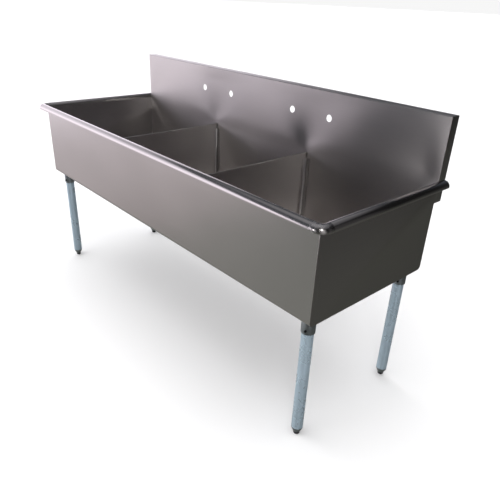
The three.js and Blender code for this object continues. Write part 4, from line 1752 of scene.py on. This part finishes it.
class Surround(Bench):
    """The studio's walls of light: bright on the left, dim in front and dark on the right."""

    lean_stops = (
        (-1.0, (0.85,) * 3), (-0.16, (0.0,) * 3), (0.12, (0.03,) * 3), (0.26, (0.13,) * 3),
        (1.0, (0.40,) * 3),
    )
    lit_stops = (
        (-1.0, (0.22, 0.21, 0.205)), (-0.45, (0.42, 0.39, 0.385)), (-0.27, (0.62, 0.575, 0.585)),
        (-0.15, (1.35, 1.26, 1.37)), (0.0, (1.78, 1.67, 1.84)), (0.14, (1.78, 1.67, 1.84)),
        (0.34, (1.20, 1.14, 1.26)), (0.55, (0.60, 0.58, 0.64)), (0.75, (0.32, 0.32, 0.35)),
        (1.0, (0.30, 0.30, 0.33)),
    )
    dim_stops = (
        (-1.0, (0.26, 0.268, 0.247)), (-0.42, (0.285, 0.292, 0.272)), (-0.22, (0.150, 0.160, 0.180)),
        (0.05, (0.110, 0.121, 0.142)), (0.30, (0.080, 0.088, 0.103)), (0.60, (0.08, 0.086, 0.096)),
        (0.80, (0.30, 0.30, 0.32)), (1.0, (0.40, 0.40, 0.42)),
    )
    gloom_stops = (
        (-1.0, (0.095, 0.097, 0.087)), (-0.40, (0.100, 0.102, 0.091)), (-0.20, (0.045, 0.046, 0.043)),
        (0.10, (0.012, 0.012, 0.012)), (0.60, (0.012, 0.012, 0.013)), (0.85, (0.14, 0.14, 0.15)),
        (1.0, (0.30, 0.30, 0.32)),
    )
    window_stops = (
        (-1.0, (0.05, 0.05, 0.05)), (-0.40, (0.14, 0.14, 0.14)), (-0.20, (0.50, 0.49, 0.50)),
        (0.45, (0.50, 0.49, 0.50)), (0.75, (0.16, 0.16, 0.16)), (1.0, (0.05, 0.05, 0.05)),
    )
    backdrop = (0.93, 0.93, 0.93, 1)

    def __init__(self) -> None:
        """Start the world, and take apart the direction in which it is seen."""
        world = bpy.data.worlds.new("studio")
        bpy.context.scene.world = world
        world.use_nodes = True
        super().__init__(world.node_tree)
        direction = self.made("TexCoord", "Generated", {})
        self.x, self.y, up = (self.made("SeparateXYZ", axis, {"Vector": direction}) for axis in "XYZ")
        self.height = self.ranged(up, -1, 1, 0, 1)

    def faded(self, value: Socket, low: float, high: float, to_low: float = 0, to_high: float = 1) -> Socket:
        """Carry a value softly from one range into another."""
        return self.ranged(value, low, high, to_low, to_high, "SMOOTHSTEP")

    def ramp(self, stops: Sequence[tuple[float, Colour]]) -> Socket:
        """Colour the surround by its height.

        Args:
            stops: Height from -1 straight down to 1 straight up, and the colour there.

        Returns:
            The colour.
        """
        node = self.tree.nodes.new("ShaderNodeValToRGB")
        node.color_ramp.interpolation = "EASE"
        elements = node.color_ramp.elements
        elements.remove(elements[1])
        for i, (place, colour) in enumerate(stops):
            element = elements.new((place + 1) / 2) if i else elements[0]
            element.position = (place + 1) / 2
            element.color = (*colour, 1)
        self.tree.links.new(self.height, node.inputs["Fac"])
        return node.outputs["Color"]

    def build(self) -> None:
        """Join the walls of light into one surround, with a plain backdrop behind the sink."""
        lit, dim, gloom, window = map(
            self.ramp, (self.lit_stops, self.dim_stops, self.gloom_stops, self.window_stops),
        )
        lean = self.reckoned("MULTIPLY", self.ramp(self.lean_stops), -1)
        slant = self.reckoned("MULTIPLY_ADD", self.x, -1, lean)
        dark = self.blended("MIX", self.faded(self.x, -0.45, 0.22), dim, gloom)
        front_right = self.faded(self.x, 0.45, 0.92), self.faded(self.y, -0.40, -0.05, 1, 0)
        back_right = self.faded(self.x, 0.60, 0.78, 0, 0.08), self.faded(self.y, 0.1, 0.4)
        for pair in (front_right, back_right):
            dark = self.blended("ADD", self.reckoned("MULTIPLY", *pair), dark, window)
        colour = self.blended("MIX", self.faded(slant, 0.525, 0.615), dark, lit)
        seen = self.made("LightPath", "Is Camera Ray", {})
        colour = self.blended("MIX", seen, colour, self.backdrop)
        self.give(self.tree.nodes["Background"], {"Color": colour, "Strength": 1})


@dataclass
class Studio:
    """Plain pale floor, soft light mostly from the left, and the camera."""

    azimuth: float = math.radians(47.21)
    elevation: float = math.radians(27.02)
    roll: float = math.radians(2.67)
    station: tuple[float, float, float] = (1.71259, -1.31222, 1.39199)
    lens: float = 36.649
    shift: tuple[float, float] = (0.00428, 0.00464)

    def camera(self) -> None:
        """Set the camera up."""
        data = bpy.data.cameras.new("camera")
        data.sensor_width = 36
        data.lens = self.lens
        data.shift_x, data.shift_y = self.shift
        data.clip_end = 200
        camera = bpy.data.objects.new("camera", data)
        bpy.context.scene.collection.objects.link(camera)
        back = Vector((
            math.sin(self.azimuth) * math.cos(self.elevation),
            -math.cos(self.azimuth) * math.cos(self.elevation),
            math.sin(self.elevation),
        ))
        right = Vector((math.cos(self.azimuth), math.sin(self.azimuth), 0))
        up = back.cross(right)
        turned_right = math.cos(self.roll) * right + math.sin(self.roll) * up
        turned_up = -math.sin(self.roll) * right + math.cos(self.roll) * up
        matrix = Matrix((turned_right, turned_up, back)).transposed().to_4x4()
        camera.matrix_world = Matrix.Translation(self.station) @ matrix
        bpy.context.scene.camera = camera

    def floor(self) -> None:
        """Lay the floor."""
        bm = bmesh.new()
        bmesh.ops.create_circle(bm, cap_ends=True, segments=96, radius=90)
        floor = to_piece("studio_floor", bm)
        bench = MaterialBench("pale_floor")
        shade = bench.clouds(0.6, 2, 0.5)
        floor.data.materials.append(bench.finished(
            Base_Color=bench.blended("MIX", shade, (0.86, 0.86, 0.86, 1), (0.89, 0.89, 0.885, 1)),
            Roughness=0.9,
        ))
        floor.visible_glossy = False

    def lamp(self, name: str, place: Sequence[float], aim: Sequence[float], size: float, power: float,
             colour: Colour) -> None:
        """Hang one soft square lamp.

        Args:
            name: Name of the lamp.
            place: Where it hangs.
            aim: The point that it faces.
            size: Length of its side.
            power: Watts.
            colour: Linear red, green and blue.
        """
        data = bpy.data.lights.new(name, "AREA")
        data.shape = "SQUARE"
        data.size = size
        data.energy = power
        data.color = colour
        lamp = bpy.data.objects.new(name, data)
        lamp.location = place
        lamp.rotation_euler = (Vector(aim) - Vector(place)).to_track_quat("-Z", "Y").to_euler()
        bpy.context.scene.collection.objects.link(lamp)

    def wash(self) -> None:
        """Light the floor evenly and softly from above."""
        data = bpy.data.lights.new("ceiling_wash", "SUN")
        data.energy = 3.9
        data.angle = math.radians(120)
        lamp = bpy.data.objects.new("ceiling_wash", data)
        lamp.rotation_euler = (math.radians(12), math.radians(-16), 0)
        lamp.visible_glossy = False
        bpy.context.scene.collection.objects.link(lamp)

    def build(self) -> None:
        """Set up the camera, the floor and the light."""
        bpy.context.scene.view_settings.view_transform = "Standard"
        self.camera()
        self.floor()
        Surround().build()
        self.wash()
        self.lamp("near_lamp", (2.45, -1.85, 2.25), (0.95, -0.35, 0.85), 0.55, 14, (1, 0.99, 0.97))
        self.lamp("front_fill", (-0.9, -5.2, 1.5), (0.8, 0.3, 0.95), 1.6, 26, (1, 0.97, 0.99))


def main() -> None:
    """Build the studio and the sink."""
    logging.basicConfig(level=logging.INFO, format="%(name)s: %(message)s")
    Studio().build()
    SheetBody().build()
    Legs().build()
    Drains().build()


if __name__ == "__main__":
    main()
